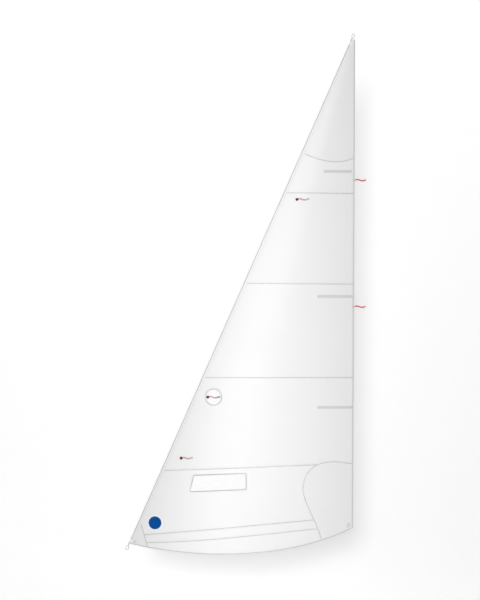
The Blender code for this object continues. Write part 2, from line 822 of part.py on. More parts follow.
def surface_frame(place, level, face):
    """Axes on the cloth at a place: x aft along the cloth, z out of the face, y in the cloth."""
    along_x, along_z = surface_slopes(*place)
    outward = Vector((-along_x, 1.0, -along_z)).normalized() * face
    aft = Vector((1.0, along_x, 0.0)).normalized()
    side = outward.cross(aft)
    centre = Vector((place[0], surface_y(*place) + level, place[1]))
    frame = Matrix((aft, side, outward)).transposed().to_4x4()
    frame.translation = centre
    return frame


def turned_ring(name, section, frame, material):
    """A closed section turned about the local z axis."""
    mesh = bpy.data.meshes.new(name)
    shape = bmesh.new()
    corners = [shape.verts.new((radius, 0.0, height)) for radius, height in section]
    for first, second in zip(corners, corners[1:] + corners[:1]):
        shape.edges.new((first, second))
    shape.to_mesh(mesh)
    shape.free()
    ring = add_object(name, mesh, material)
    turn = ring.modifiers.new("turn", "SCREW")
    turn.steps = ARC_STEPS
    turn.render_steps = ARC_STEPS
    turn.use_merge_vertices = True
    turn.merge_threshold = 0.00001
    turn.use_smooth_shade = True
    ring.matrix_world = frame
    return ring


def build_eyelet(corner, place, bore, flange):
    """A pressed eyelet: flange to port, barrel through the plies, washer and lip to starboard."""
    frame = surface_frame(place, 0.0, STARBOARD_FACE)
    barrel = bore + EYELET_WALL
    port = PATCH_PORT - GAP
    starboard = PATCH_STARBOARD + PLY + GAP
    lip = starboard + EYELET_WALL + GAP
    edge = EYELET_WALL / 3
    eyelet = [
        (bore, port - EYELET_WALL + edge),
        (bore, lip + EYELET_WALL),
        (barrel + LIP_REACH, lip + EYELET_WALL),
        (barrel + LIP_REACH, lip),
        (barrel, lip),
        (barrel, port),
        (flange, port),
        (flange, port - edge),
        (flange - edge, port - EYELET_WALL),
        (bore + edge, port - EYELET_WALL),
    ]
    turned_ring(corner + "_eyelet", eyelet, frame, ALLOY)
    washer = [
        (barrel + GAP, starboard),
        (barrel + GAP, starboard + EYELET_WALL),
        (flange - edge, starboard + EYELET_WALL),
        (flange, starboard + EYELET_WALL - edge),
        (flange, starboard),
    ]
    turned_ring(corner + "_eyelet_washer", washer, frame, ALLOY)


def batten_pocket_outline(height, forward, short):
    """Centre height and ends of a pocket, in world x and z."""
    x, z = placed((forward, height))
    return z, x, leech_x(z) - short


def rectangle(low_x, low_z, high_x, high_z):
    """Corners of an upright rectangle."""
    return [(low_x, low_z), (high_x, low_z), (high_x, high_z), (low_x, high_z)]


def build_battens():
    """A pocket on the port face for each batten, open towards the leech, and the batten in it."""
    behind = {"upper": True, "middle": True, "lower": False}
    for place, values in BATTENS.items():
        z, low, high = batten_pocket_outline(*values)
        half = POCKET_HEIGHT / 2
        back = (BACK_PLY if behind[place] else FRONT_PLY) - GAP
        front = BATTEN_LEVEL - GAP - POCKET_COVER
        outline = rectangle(low, z - half, high, z + half)
        name = place + "_batten_pocket"
        pocket = ply(name, outline, front, POCKET, thickness=back - front)
        half = BATTEN_HEIGHT / 2 + GAP
        room_outline = rectangle(low + 2 * PLY, z - half, high + BATTEN_HEIGHT, z + half)
        room_top = BATTEN_LEVEL + BATTEN_THICKNESS + GAP
        room = cutter_slab(name + "_room", room_outline, BATTEN_LEVEL - GAP, room_top)
        use_boolean(pocket, room, "DIFFERENCE")
        start, end = low + BATTEN_END_GAP, high - GAP
        radius = BATTEN_HEIGHT / 2
        strip = bar((start + end) / 2, z, (end - start) / 2 - radius, radius)
        batten = ply(place + "_batten", strip, BATTEN_LEVEL, BATTEN, thickness=BATTEN_THICKNESS)
        move_origin(batten, Vector((end, surface_y(end, z) + BATTEN_LEVEL, z)))
        batten.parent = SAIL_PIVOT


def move_origin(thing, point):
    """Put an object's origin at a point and leave its shape where it is."""
    thing.data.transform(Matrix.Translation(-point))
    thing.location = point


def ribbon_mesh(name, start, length, flat, lift):
    """A narrow ribbon along local x with a wave to its sides, rising from the cloth after a flat."""
    mesh = bpy.data.meshes.new(name)
    shape = bmesh.new()
    bmesh.ops.create_grid(shape, x_segments=TAIL_STEPS, y_segments=1, size=0.5)
    for vertex in shape.verts:
        along = start + (vertex.co.x + 0.5) * (length - start)
        across = vertex.co.y * TAIL_WIDTH
        wave = WAVE_HEIGHT * math.sin(2 * math.pi * max(along, 0.0) / WAVE_LENGTH)
        rise = max(along - flat, 0.0) * math.tan(lift)
        vertex.co = (along, across + wave, rise)
    shape.to_mesh(mesh)
    shape.free()
    return mesh


def build_ribbon(name, mesh, frame, material):
    """A ribbon as a thin closed strip, its origin on its joint's axis."""
    ribbon = add_object(name, mesh, material)
    wall = ribbon.modifiers.new("thickness", "SOLIDIFY")
    wall.thickness = TAIL_THICKNESS
    wall.offset = 0.0
    ribbon.matrix_world = frame
    return ribbon


def build_telltales():
    """On each side of the cloth at each place, a dot that holds the root of a ribbon tail."""
    port_faces = {"upper": 0.0, "middle": -STEP, "lower": 0.0}
    starboard_faces = {"upper": PLY, "middle": PLY - STEP, "lower": PLY}
    for place, point in TELLTALES.items():
        centre = placed(point)
        room = 2 * TAIL_GAP + TAIL_THICKNESS
        level = port_faces[place]
        dot = circle(centre, DOT_RADIUS, DOT_STEPS)
        ply(place + "_telltale_dot_port", dot, level - room - PLY, DARK_RED)
        frame = surface_frame(centre, level - room / 2, PORT_FACE)
        name = place + "_telltale_tail_port"
        tail = ribbon_mesh(name, TAIL_START, TAIL_LENGTH, TAIL_FLAT, 0.0)
        build_ribbon(name, tail, frame, RED)
        level = starboard_faces[place]
        ply(place + "_telltale_dot_starboard", dot, level + room, GREEN)
        frame = surface_frame(centre, level + room / 2, STARBOARD_FACE)
        name = place + "_telltale_tail_starboard"
        tail = ribbon_mesh(name, TAIL_START, TAIL_LENGTH, TAIL_FLAT, STARBOARD_LIFT)
        build_ribbon(name, tail, frame, GREEN)


def build_leech_ribbons():
    """A tab on the leech tape and a ribbon that streams from it, for each leech telltale."""
    for place, height in LEECH_RIBBONS.items():
        z = placed((0.0, height))[1]
        edge = leech_x(z)
        level = TAPE_PORT - STEP
        half = TAB_SIZE / 2
        outline = rectangle(edge - TAB_SIZE + TAB_REACH, z - half, edge + TAB_REACH, z + half)
        ply(place + "_leech_ribbon_tab", outline, level, TAPE)
        frame = surface_frame((edge + TAB_REACH + GAP, z), level + PLY / 2, PORT_FACE)
        mesh = ribbon_mesh(place + "_leech_ribbon", GAP, RIBBON_LENGTH, 0.0, 0.0)
        build_ribbon(place + "_leech_ribbon", mesh, frame, RED)


def build_emblem():
    """A round sticker near the tack: a plain blue disc on a white backing."""
    centre = placed(EMBLEM)
    level = BACK_PLY - STEP
    ply("emblem_backing", circle(centre, EMBLEM_BACKING_RADIUS), level, WHITE)
    ply("emblem_disc", circle(centre, EMBLEM_RADIUS), level - STEP, BLUE)


def hang_on_pivot():
    """Everything but the wire and its fittings turns with the pivot on the wire's axis."""
    fixed = {"luff_wire", "tack_thimble", "head_thimble", "tack_ferrule", "head_ferrule"}
    for thing in JIB.objects:
        if thing.name not in fixed and thing is not SAIL_PIVOT and thing.parent is None:
            thing.parent = SAIL_PIVOT


SAIL_PIVOT = bpy.data.objects.new("sail_pivot", None)
JIB.objects.link(SAIL_PIVOT)
build_wire()
build_wire_ends()
build_panels()
build_windows()
build_patches()
build_tapes()
build_sleeve()
build_eyelet("clew", CLEW_EYE, CLEW_BORE, CLEW_FLANGE)
build_eyelet("tack", TACK_EYE, TACK_BORE, TACK_FLANGE)
build_battens()
build_telltales()
build_leech_ribbons()
build_emblem()
hang_on_pivot()
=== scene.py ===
"""Looks of a dinghy's jib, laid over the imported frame: cloths, windows, stitching, wire and fittings.

+X runs aft, +Z up and +Y to starboard, so the belly of the sail is towards -Y. All sizes are in
metres. The origin is the centre of the tack thimble's eye, on the axis of the luff wire.
"""

import json
import logging
import math
from collections.abc import Callable, Iterable, Iterator, Sequence
from contextlib import contextmanager
from dataclasses import dataclass
from enum import Enum
from functools import cached_property

import bmesh
import bpy
import numpy as np
from mathutils import Matrix, Vector
from mathutils.geometry import delaunay_2d_cdt

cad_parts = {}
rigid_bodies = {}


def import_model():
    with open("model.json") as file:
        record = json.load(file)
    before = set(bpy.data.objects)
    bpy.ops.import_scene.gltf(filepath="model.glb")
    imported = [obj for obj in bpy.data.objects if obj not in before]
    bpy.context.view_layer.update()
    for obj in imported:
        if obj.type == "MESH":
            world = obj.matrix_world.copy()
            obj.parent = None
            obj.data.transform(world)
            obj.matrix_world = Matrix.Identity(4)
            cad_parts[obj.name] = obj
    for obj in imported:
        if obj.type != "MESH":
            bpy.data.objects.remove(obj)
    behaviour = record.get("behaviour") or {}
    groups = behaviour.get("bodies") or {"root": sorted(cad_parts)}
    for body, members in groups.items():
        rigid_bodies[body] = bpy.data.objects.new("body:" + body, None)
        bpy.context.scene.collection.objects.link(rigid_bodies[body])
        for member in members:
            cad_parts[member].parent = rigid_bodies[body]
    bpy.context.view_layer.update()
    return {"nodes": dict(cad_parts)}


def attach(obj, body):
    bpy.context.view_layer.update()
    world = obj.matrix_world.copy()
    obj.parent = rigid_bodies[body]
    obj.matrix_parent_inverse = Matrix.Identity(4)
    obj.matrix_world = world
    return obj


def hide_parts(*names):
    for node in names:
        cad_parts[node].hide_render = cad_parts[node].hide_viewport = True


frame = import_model()
LOG = logging.getLogger("jib")

Point = tuple[float, float]
Run = list[Point]
Corners = tuple[Point, ...]
Colour = tuple[float, float, float]
Piece = bpy.types.Object
Array = np.ndarray
Node = bpy.types.Node
Tree = bpy.types.NodeTree
Material = bpy.types.Material
Socket = bpy.types.NodeSocket
Sockets = bpy.types.bpy_prop_collection
Value = Socket | float | tuple
Fill = dict[int | str, Value]
Level = float | Callable[[Array, Array], Array]

# Plies of cloth, stacked along Y with a running gap between neighbours
PLY = 0.0004
GAP = 0.0003
STEP = PLY + GAP
CLOTH = 0.0006
SEAM_LAP = 0.015

# Levels of the port faces of the plies, along Y from the moulded surface
FRONT_PLY = 0.0
BACK_PLY = STEP
PATCH_PORT = -STEP
PATCH_STARBOARD = 2 * STEP
TAPE_PORT = -2 * STEP
TAPE_STARBOARD = 3 * STEP + PLY

# Insets and widths along the edges
LUFF_INSET = 0.008
EDGE_INSET = 0.002
TAPE_WIDTH = 0.009
SLEEVE_FLANGE = 0.020

# Fineness: merging distance, least divisor, room at a pattern's edge as a share of its grid, and steps of a
# full turn
MERGE = 1e-6
TINY = 1e-12
EDGE_ROOM = 0.45
TURN_STEPS = 64

# Angles from which an edge is shaded as sharp, on cloth, on wire and cast pieces, and on pressed ones
SHARP = math.radians(35)
CAST_SHARP = math.radians(40)
PRESSED_SHARP = math.radians(50)

# The map that tells a piece of cloth where it lay when it was flat
CLOTH_MAP = "cloth"


class Face(Enum):
    """The two sides of the sail, as the sign of the way out along Y."""

    PORT = -1
    STARBOARD = 1


@dataclass(frozen=True)
class SailPlan:
    """Outline of the sail from its tack corner, and its moulded surface."""

    luff_length: float = 4.119
    luff_rake: float = math.radians(23.82)
    head_width: float = 0.030
    clew: Point = (1.6774, 0.1159)
    foot_handles: tuple[Point, Point] = ((0.4865, -0.1074), (1.1843, -0.1324))
    camber: float = 0.08
    flat_from: float = 0.46
    tack_rise: float = 0.038
    head_rise: float = 0.034
    sleeve_radius: float = 0.0036

    @cached_property
    def along(self) -> Vector:
        """The direction of the luff wire, upwards."""
        return Vector((math.sin(self.luff_rake), 0.0, math.cos(self.luff_rake)))

    @cached_property
    def across(self) -> Vector:
        """The direction square to the luff wire, aft and down."""
        return Vector((math.cos(self.luff_rake), 0.0, -math.sin(self.luff_rake)))

    @cached_property
    def head_eye(self) -> float:
        """How far the head eye lies from the tack eye along the wire."""
        return self.tack_rise + self.luff_length + self.head_rise

    @cached_property
    def corner(self) -> Point:
        """The tack corner of the cloth in world x and z."""
        spot = self.along * self.tack_rise - self.across * self.sleeve_radius
        return (spot.x, spot.z)

    @cached_property
    def clew_point(self) -> Point:
        """The clew in world x and z."""
        return self.placed(self.clew)

    @cached_property
    def head_point(self) -> Point:
        """The top of the leech in world x and z."""
        rise = self.luff_length * math.cos(self.luff_rake)
        return self.placed((self.luff_length * math.sin(self.luff_rake) + self.head_width, rise))

    @cached_property
    def leech_lean(self) -> float:
        """Run of the leech aft over its rise."""
        (low_x, low_z), (high_x, high_z) = self.clew_point, self.head_point
        return (high_x - low_x) / (high_z - low_z)

    def placed(self, point: Point) -> Point:
        """A point counted from the tack corner, as world x and z."""
        return (self.corner[0] + point[0], self.corner[1] + point[1])

    def placed_all(self, points: Iterable[Point]) -> Run:
        """Points counted from the tack corner, as world x and z."""
        return [self.placed(point) for point in points]

    def on_wire(self, across: float, along: float) -> Point:
        """World x and z of a point given from the axis of the luff wire."""
        spot = self.across * across + self.along * along
        return (spot.x, spot.z)

    def luff_x(self, z: Array | float) -> Array | float:
        """Where the axis of the wire stands at a height."""
        return z * math.tan(self.luff_rake)

    def leech_x(self, z: Array | float) -> Array | float:
        """Where the leech stands at a height."""
        return self.clew_point[0] + (z - self.clew_point[1]) * self.leech_lean

    def mould(self, x: Array, z: Array) -> Array:
        """The smooth moulded surface: a round entry, and a straight run from the draft to the leech.

        Args:
            x: World x of each point.
            z: World z of each point.

        Returns:
            World y of the surface at each point.
        """
        slope = 4 / (2 - self.flat_from) ** 2
        bend = slope / self.flat_from**2
        entry = slope * (2 / self.flat_from - 1)
        chord = self.leech_x(z) - self.luff_x(z)
        station = (x - self.luff_x(z)) / chord
        round_part = entry * station - bend * station**2
        depth = np.where(station < self.flat_from, round_part, slope * (1 - station))
        return -self.camber * chord * depth


@dataclass(frozen=True)
class Pucker:
    """The small waves that thread pulls into the cloth beside a seam."""

    height: float = 0.00016
    length: float = 0.052
    reach: float = 0.016


@dataclass(frozen=True)
class Creases:
    """Faint creases that fan out from the clew, where the sheet pulls."""

    height: float = 0.00055
    count: float = 9.0
    middle: float = 0.42
    spread: float = 0.20


@dataclass(frozen=True)
class Seams:
    """Seams and cloth edges as height at the tack corner's station and rise over run."""

    band_top: Point = (0.0614, 0.08706)
    across: Corners = ((0.5323, 0.03777), (1.2456, -0.0006), (1.9452, -0.0064), (2.6390, -0.0113))
    band_bottom: Corners = ((0.0, 0.004), (0.45, 0.004), (0.9, 0.055), (1.6819, 0.136))
    skirt_start: float = 0.030
    span: Point = (-0.1, 1.9)
    top_span: Point = (-0.2, 0.1)

    @cached_property
    def straight(self) -> Corners:
        """The straight seams, from the foot up."""
        return (self.band_top, *self.across)


PLAN = SailPlan()
SEAMS = Seams()


def bezier(handles: Sequence[Point], steps: int = 40) -> Run:
    """Points along a cubic curve.

    Args:
        handles: Start, two handles and end.
        steps: How many stretches the curve is cut into.

    Returns:
        The points, ends included.
    """
    start, first, second, end = (Vector(handle) for handle in handles)
    points = []
    for index in range(steps + 1):
        t = index / steps
        rest = 1 - t
        spot = start * rest**3 + first * (3 * rest**2 * t) + second * (3 * rest * t**2) + end * t**3
        points.append(tuple(spot))
    return points


def arc(centre: Point, radius: float, turns: Iterable[float]) -> Run:
    """Points of a circle at some angles."""
    return [(centre[0] + radius * math.cos(turn), centre[1] + radius * math.sin(turn)) for turn in turns]


def circle(centre: Point, radius: float, steps: int = TURN_STEPS) -> Run:
    """Points around a circle."""
    return arc(centre, radius, (2 * math.pi / steps * index for index in range(steps)))


def rectangle(low: Point, high: Point) -> Run:
    """Corners of an upright rectangle."""
    return [low, (high[0], low[1]), high, (low[0], high[1])]


def as_run(points: Array) -> Run:
    """An array of points as a run."""
    return [tuple(point) for point in points]


def unit(vectors: Array) -> Array:
    """Vectors brought to a length of 1."""
    return vectors / np.linalg.norm(vectors, axis=-1, keepdims=True)


def eased(part: Array) -> Array:
    """A smooth step from 0 to 1."""
    part = np.clip(part, 0.0, 1.0)
    return part * part * (3 - 2 * part)


def axes_at(origin: Vector, *axes: Vector) -> Matrix:
    """A frame with its origin at a place and its x, y and z along three vectors."""
    turn = Matrix(axes).transposed().to_4x4()
    return Matrix.Translation(origin) @ turn


def left_of(points: Array) -> Array:
    """Unit vectors to the left of a run, at each of its points."""
    heading = unit(np.gradient(points, axis=0))
    return np.stack([-heading[:, 1], heading[:, 0]], axis=1)


def distances(points: Array) -> Array:
    """How far along a run each of its points lies."""
    return np.concatenate([[0.0], np.cumsum(np.linalg.norm(np.diff(points, axis=0), axis=1))])


def shifted(points: Run, distance: float) -> Run:
    """A run of points moved to its left-hand side by a distance."""
    spots = np.array(points)
    return as_run(spots + left_of(spots) * distance)


def stretches(run: Run) -> list[Run]:
    """The straight stretches between a run's points, each as a run of its own."""
    return [list(pair) for pair in zip(run, run[1:])]


def height_of(run: Run, x: float) -> float:
    """Height of a left-to-right run of points at x."""
    return float(np.interp(x, [point[0] for point in run], [point[1] for point in run]))


def resampled(points: Array, step: float, closed: bool = False) -> Array:
    """A run with its corners kept and points added.

    Args:
        points: The run.
        step: The furthest apart that two of its points may lie.
        closed: Whether the run goes on from its end to its start.

    Returns:
        The run with its new points.
    """
    result = []
    ends = np.roll(points, -1, axis=0) if closed else points[1:]
    for first, second in zip(points, ends):
        count = max(1, math.ceil(np.linalg.norm(second - first) / step))
        result += [first + (second - first) * (index / count) for index in range(count)]
    if not closed:
        result.append(points[-1])
    return np.array(result)


def spaced(points: Array, step: float) -> Array:
    """A run read again at about even steps along its length, with both ends kept.

    Args:
        points: The run.
        step: The step.

    Returns:
        The new run.
    """
    lengths = distances(points)
    places = np.linspace(0.0, lengths[-1], max(2, round(lengths[-1] / step) + 1))
    return np.stack([np.interp(places, lengths, points[:, axis]) for axis in (0, 1)], axis=1)


def inside(points: Array, ring: Array) -> Array:
    """Which points lie inside a closed outline: an odd number of its stretches is crossed from them.

    Args:
        points: The points.
        ring: The outline.

    Returns:
        True for each point that does.
    """
    x, z = points[:, :1], points[:, 1:]
    (x0, z0), (x1, z1) = ring.T, np.roll(ring, -1, axis=0).T
    crosses = (z0 > z) != (z1 > z)
    rise = np.where(np.abs(z1 - z0) < TINY, TINY, z1 - z0)
    return (crosses & (x < x0 + (z - z0) * (x1 - x0) / rise)).sum(axis=1) % 2 == 1


def clearance(points: Array, ring: Array) -> Array:
    """How far each point lies from the nearest stretch of a closed outline.

    Args:
        points: The points.
        ring: The outline.

    Returns:
        The distances.
    """
    start, run = ring, np.roll(ring, -1, axis=0) - ring
    best = np.full(len(points), np.inf)
    for first, step in zip(start, run):
        part = np.clip((points - first) @ step / max(float(step @ step), TINY), 0.0, 1.0)
        best = np.minimum(best, np.linalg.norm(points - first - part[:, None] * step, axis=1))
    return best


@dataclass(frozen=True)
class Loft:
    """The floor where the sail's patterns are drawn and its surface is read."""

    pucker: Pucker = Pucker()
    creases: Creases = Creases()

    def seam_height(self, seam: Point, x: Array) -> Array:
        """World z of a straight seam at world x."""
        corner_x, corner_z = PLAN.corner
        return corner_z + seam[0] + seam[1] * (x - corner_x)

    def ripple(self, x: Array, z: Array) -> Array:
        """Pucker along the seams and the creases at the clew.

        Args:
            x: World x of each point.
            z: World z of each point.

        Returns:
            How far they move the cloth along Y at each point.
        """
        move = np.zeros_like(x)
        for index, seam in enumerate(SEAMS.straight):
            away = (z - self.seam_height(seam, x)) / self.pucker.reach
            wave = np.sin(2 * math.pi * x / self.pucker.length + index)
            move += self.pucker.height * wave * np.exp(-(away**2))
        clew_x, clew_z = PLAN.clew_point
        reach = np.hypot(x - clew_x, z - clew_z)
        fan = np.cos(self.creases.count * np.arctan2(z - clew_z, clew_x - x))
        ease = np.exp(-(((reach - self.creases.middle) / self.creases.spread) ** 2))
        return move + self.creases.height * fan * ease

    def surface(self, x: Array, z: Array) -> Array:
        """World y of the middle of the cloth, with its ripple."""
        x, z = np.asarray(x, float), np.asarray(z, float)
        return PLAN.mould(x, z) + self.ripple(x, z)

    def on_cloth(self, x: Array, z: Array, level: float | Array) -> Array:
        """World points at a level along Y from the surface."""
        return np.stack([x, self.surface(x, z) + level, z], axis=-1)

    def outward(self, x: Array, z: Array, face: Face) -> Array:
        """Unit vectors out of one face of the cloth at some points.

        Args:
            x: World x of each point.
            z: World z of each point.
            face: The side of the sail.

        Returns:
            The vectors.
        """
        small = 1e-4
        along_x = (self.surface(x + small, z) - self.surface(x - small, z)) / (2 * small)
        along_z = (self.surface(x, z + small) - self.surface(x, z - small)) / (2 * small)
        return unit(np.stack([-along_x, np.ones_like(along_x), -along_z], axis=-1) * face.value)

    def frame_at(self, spot: Point, level: float, face: Face) -> Matrix:
        """Axes on the cloth: x aft along the cloth, z out of the face and y in the cloth.

        Args:
            spot: World x and z.
            level: Distance of the origin from the surface along Y.
            face: The side that z points out of.

        Returns:
            The frame as a matrix with its origin on the spot.
        """
        x, z = np.array(spot[0]), np.array(spot[1])
        out = Vector(self.outward(x, z, face))
        aft = Vector((1.0, -out.x / out.y, 0.0)).normalized()
        origin = Vector((spot[0], float(self.surface(x, z)) + level, spot[1]))
        return axes_at(origin, aft, out.cross(aft), out)

    def past_luff(self, point: Point, inset: float) -> float:
        """How far a point lies aft of a line along the wire."""
        return point[0] * PLAN.across.x + point[1] * PLAN.across.z - inset

    def before_leech(self, point: Point, inset: float) -> float:
        """How far a point lies ahead of a line along the leech."""
        return PLAN.leech_x(point[1]) - inset - point[0]

    def trimmed(self, points: Run, luff: float = LUFF_INSET, leech: float = EDGE_INSET) -> Run:
        """The part of a run that lies between two lines inside the luff and the leech.

        Args:
            points: A run from luff to leech.
            luff: Inset of the first line from the axis of the wire.
            leech: Inset of the second line from the leech.

        Returns:
            The points between the lines, with one where the run crosses each.
        """
        for measure, inset in ((self.past_luff, luff), (self.before_leech, leech)):
            kept: Run = []
            for index, point in enumerate(points):
                here = measure(point, inset)
                before = measure(points[index - 1], inset) if index else here
                if (here >= 0) != (before >= 0):
                    part = before / (before - here)
                    last = points[index - 1]
                    kept.append(tuple(last[axis] + (point[axis] - last[axis]) * part for axis in (0, 1)))
                if here >= 0:
                    kept.append(point)
            points = kept
        return points

    def straight(self, seam: Point, lift: float = 0.0) -> Run:
        """A straight seam as a run across the whole sail."""
        height, slope = seam
        return PLAN.placed_all([(x, height + slope * x + lift) for x in SEAMS.span])

    def curve(self, handles: Corners) -> Run:
        """A cubic curve whose handles are counted from the tack corner."""
        return PLAN.placed_all(bezier(handles))

    @cached_property
    def foot(self) -> Run:
        """The foot from tack to clew."""
        return bezier(PLAN.placed_all(((0.0, 0.0), *PLAN.foot_handles, PLAN.clew)))

    @cached_property
    def foot_inner(self) -> Run:
        """The cloth's edge inside the foot tape."""
        return shifted(self.foot, EDGE_INSET)

    @cached_property
    def head_top(self) -> Run:
        """The top edge of the cloth."""
        x, z = PLAN.head_point
        return [(x + reach, z) for reach in SEAMS.top_span]


LOFT = Loft()


def deselect() -> None:
    """Nothing selected, so that an operator acts on what is selected next."""
    bpy.ops.object.select_all(action="DESELECT")


def activate(thing: Piece) -> None:
    """Only this object selected and active.

    Args:
        thing: The object.
    """
    deselect()
    thing.select_set(True)
    bpy.context.view_layer.objects.active = thing


def linked(name: str, data: bpy.types.ID) -> Piece:
    """A new object in the scene that holds some data.

    Args:
        name: The object's name.
        data: The data.

    Returns:
        The object.
    """
    thing = bpy.data.objects.new(name, data)
    bpy.context.scene.collection.objects.link(thing)
    return thing


def primitive(name: str, operator: Callable[..., object], **sizes: float | tuple | str) -> Piece:
    """A primitive that an operator adds on its own, named, selected and active.

    Args:
        name: Its name.
        operator: What adds it.
        sizes: The operator's settings.

    Returns:
        The object.
    """
    deselect()
    operator(**sizes)
    thing = bpy.context.object
    thing.name = thing.data.name = name
    return thing


@contextmanager
def edited(thing: Piece) -> Iterator[None]:
    """An object's mesh open in edit mode, with all of it selected.

    Args:
        thing: The object.
    """
    activate(thing)
    bpy.ops.object.mode_set(mode="EDIT")
    bpy.ops.mesh.select_all(action="SELECT")
    yield
    bpy.ops.object.mode_set(mode="OBJECT")


@contextmanager
def reshaped(thing: Piece) -> Iterator[bmesh.types.BMesh]:
    """An object's mesh open for changes in code, which are written back to it.

    Args:
        thing: The object.

    Yields:
        The mesh.
    """
    shape = bmesh.new()
    shape.from_mesh(thing.data)
    yield shape
    shape.to_mesh(thing.data)
    shape.free()


def face_outwards() -> None:
    """In edit mode, merge all points that touch and turn all faces outwards."""
    bpy.ops.mesh.select_all(action="SELECT")
    bpy.ops.mesh.remove_doubles(threshold=MERGE)
    bpy.ops.mesh.normals_make_consistent(inside=False)


def carried(thing: Piece, axes: Matrix) -> Piece:
    """An object whose mesh is carried into a frame, with its faces kept outwards.

    Args:
        thing: The object.
        axes: The frame.

    Returns:
        The same object.
    """
    thing.data.transform(axes)
    if axes.determinant() < 0:
        thing.data.flip_normals()
    return thing


def smoothed(thing: Piece, angle: float = SHARP) -> Piece:
    """Shade an object smooth but for its sharp edges.

    Args:
        thing: The object.
        angle: The least turn at a sharp edge.

    Returns:
        The same object.
    """
    activate(thing)
    bpy.ops.object.shade_smooth_by_angle(angle=angle)
    return thing


def applied(thing: Piece) -> Piece:
    """An object with its modifiers applied.

    Args:
        thing: The object.

    Returns:
        The same object.
    """
    activate(thing)
    for modifier in list(thing.modifiers):
        bpy.ops.object.modifier_apply(modifier=modifier.name)
    return thing


def rounded(thing: Piece, width: float, segments: int, turn: float) -> Piece:
    """An object with its edges rounded, where they turn by more than an angle.

    Args:
        thing: The object.
        width: Width of the rounding.
        segments: How many flats it has.
        turn: The angle.

    Returns:
        The same object.
    """
    edge = thing.modifiers.new("edge", "BEVEL")
    edge.width = width
    edge.segments = segments
    edge.limit_method = "ANGLE"
    edge.angle_limit = turn
    return applied(thing)


def add_mesh(name: str, points: Array, faces: list[tuple[int, ...]], uv: Array) -> Piece:
    """A new mesh object with a cloth UV map.

    Args:
        name: The object's name.
        points: Its vertices in world space.
        faces: Its faces as vertex numbers.
        uv: For each vertex its place on the flat cloth, in metres.

    Returns:
        The object, linked to the scene.
    """
    mesh = bpy.data.meshes.new(name)
    mesh.from_pydata(points.tolist(), [], faces)
    layer = mesh.uv_layers.new(name=CLOTH_MAP)
    corners = np.zeros(len(mesh.loops), np.int32)
    mesh.loops.foreach_get("vertex_index", corners)
    layer.data.foreach_set("uv", uv[corners].astype(np.float32).ravel())
    return linked(name, mesh)


def drawn(
    name: str,
    lines: Sequence[tuple[Array, float]],
    closed: bool = False,
    **settings: object,
) -> Piece:
    """A curve of straight stretches.

    Args:
        name: The object's name.
        lines: The points of each line, and its width in bevel depths.
        closed: Whether each line runs back to its start.
        settings: The curve's own settings, in the order in which they are made.

    Returns:
        The curve, linked to the scene.
    """
    curve = bpy.data.curves.new(name, "CURVE")
    for label, value in settings.items():
        setattr(curve, label, value)
    for points, width in lines:
        spline = curve.splines.new("POLY")
        spline.points.add(len(points) - 1)
        spline.use_cyclic_u = closed
        for point, place in zip(spline.points, points):
            point.co = (*place, 1.0)
            point.radius = width
    return linked(name, curve)


def cast(thing: Piece) -> Piece:
    """A curve made a mesh, with its caps closed and its faces outwards.

    Args:
        thing: The curve.

    Returns:
        The object that takes its place.
    """
    activate(thing)
    bpy.ops.object.convert(target="MESH")
    thing = bpy.context.object
    with edited(thing):
        face_outwards()
    return smoothed(thing, CAST_SHARP)


def on_pattern(points: Array, rings: Sequence[Array]) -> Array:
    """Which points lie inside a pattern's edge, the first ring, and outside its holes, the others.

    Args:
        points: The points.
        rings: The edge, and the edges of the holes.

    Returns:
        True for each point that does.
    """
    keep = inside(points, rings[0])
    for ring in rings[1:]:
        keep &= ~inside(points, ring)
    return keep


def lay_cloth(
    name: str,
    outline: Run,
    level: Level,
    holes: Sequence[Run] = (),
    thickness: float = CLOTH,
    grid: float = 0.013,
) -> Piece:
    """Lay a flat pattern on the moulded surface as one closed ply of cloth.

    Args:
        name: The object's name.
        outline: The pattern's edge in world x and z.
        level: Place of its port face along Y from the surface, a number or a function of x and z.
        holes: Edges of the holes in it.
        thickness: Thickness along Y.
        grid: Spacing of the points that follow the surface.

    Returns:
        The ply.
    """
    rings = [resampled(np.array(ring), grid, closed=True) for ring in (outline, *holes)]
    low, high = rings[0].min(axis=0), rings[0].max(axis=0)
    rows = np.arange(low[1] + grid / 2, high[1], grid)
    columns = np.arange(low[0], high[0], grid)
    lattice = np.array([(x + grid / 2 * (row % 2), z) for row, z in enumerate(rows) for x in columns])
    lattice = lattice.reshape(-1, 2)
    lattice = lattice[on_pattern(lattice, rings)]
    edges, start = [], 0
    for ring in rings:
        lattice = lattice[clearance(lattice, ring) > grid * EDGE_ROOM]
        count = len(ring)
        edges += [(start + index, start + (index + 1) % count) for index in range(count)]
        start += count
    spots = [Vector(spot) for spot in np.concatenate([*rings, lattice])]
    spots, _, faces, *_ = delaunay_2d_cdt(spots, edges, [], 1, MERGE)
    flat = np.array([tuple(spot) for spot in spots])
    faces = np.array([list(face) for face in faces])
    return close_ply(name, flat, faces[on_pattern(flat[faces].mean(axis=1), rings)], level, thickness)


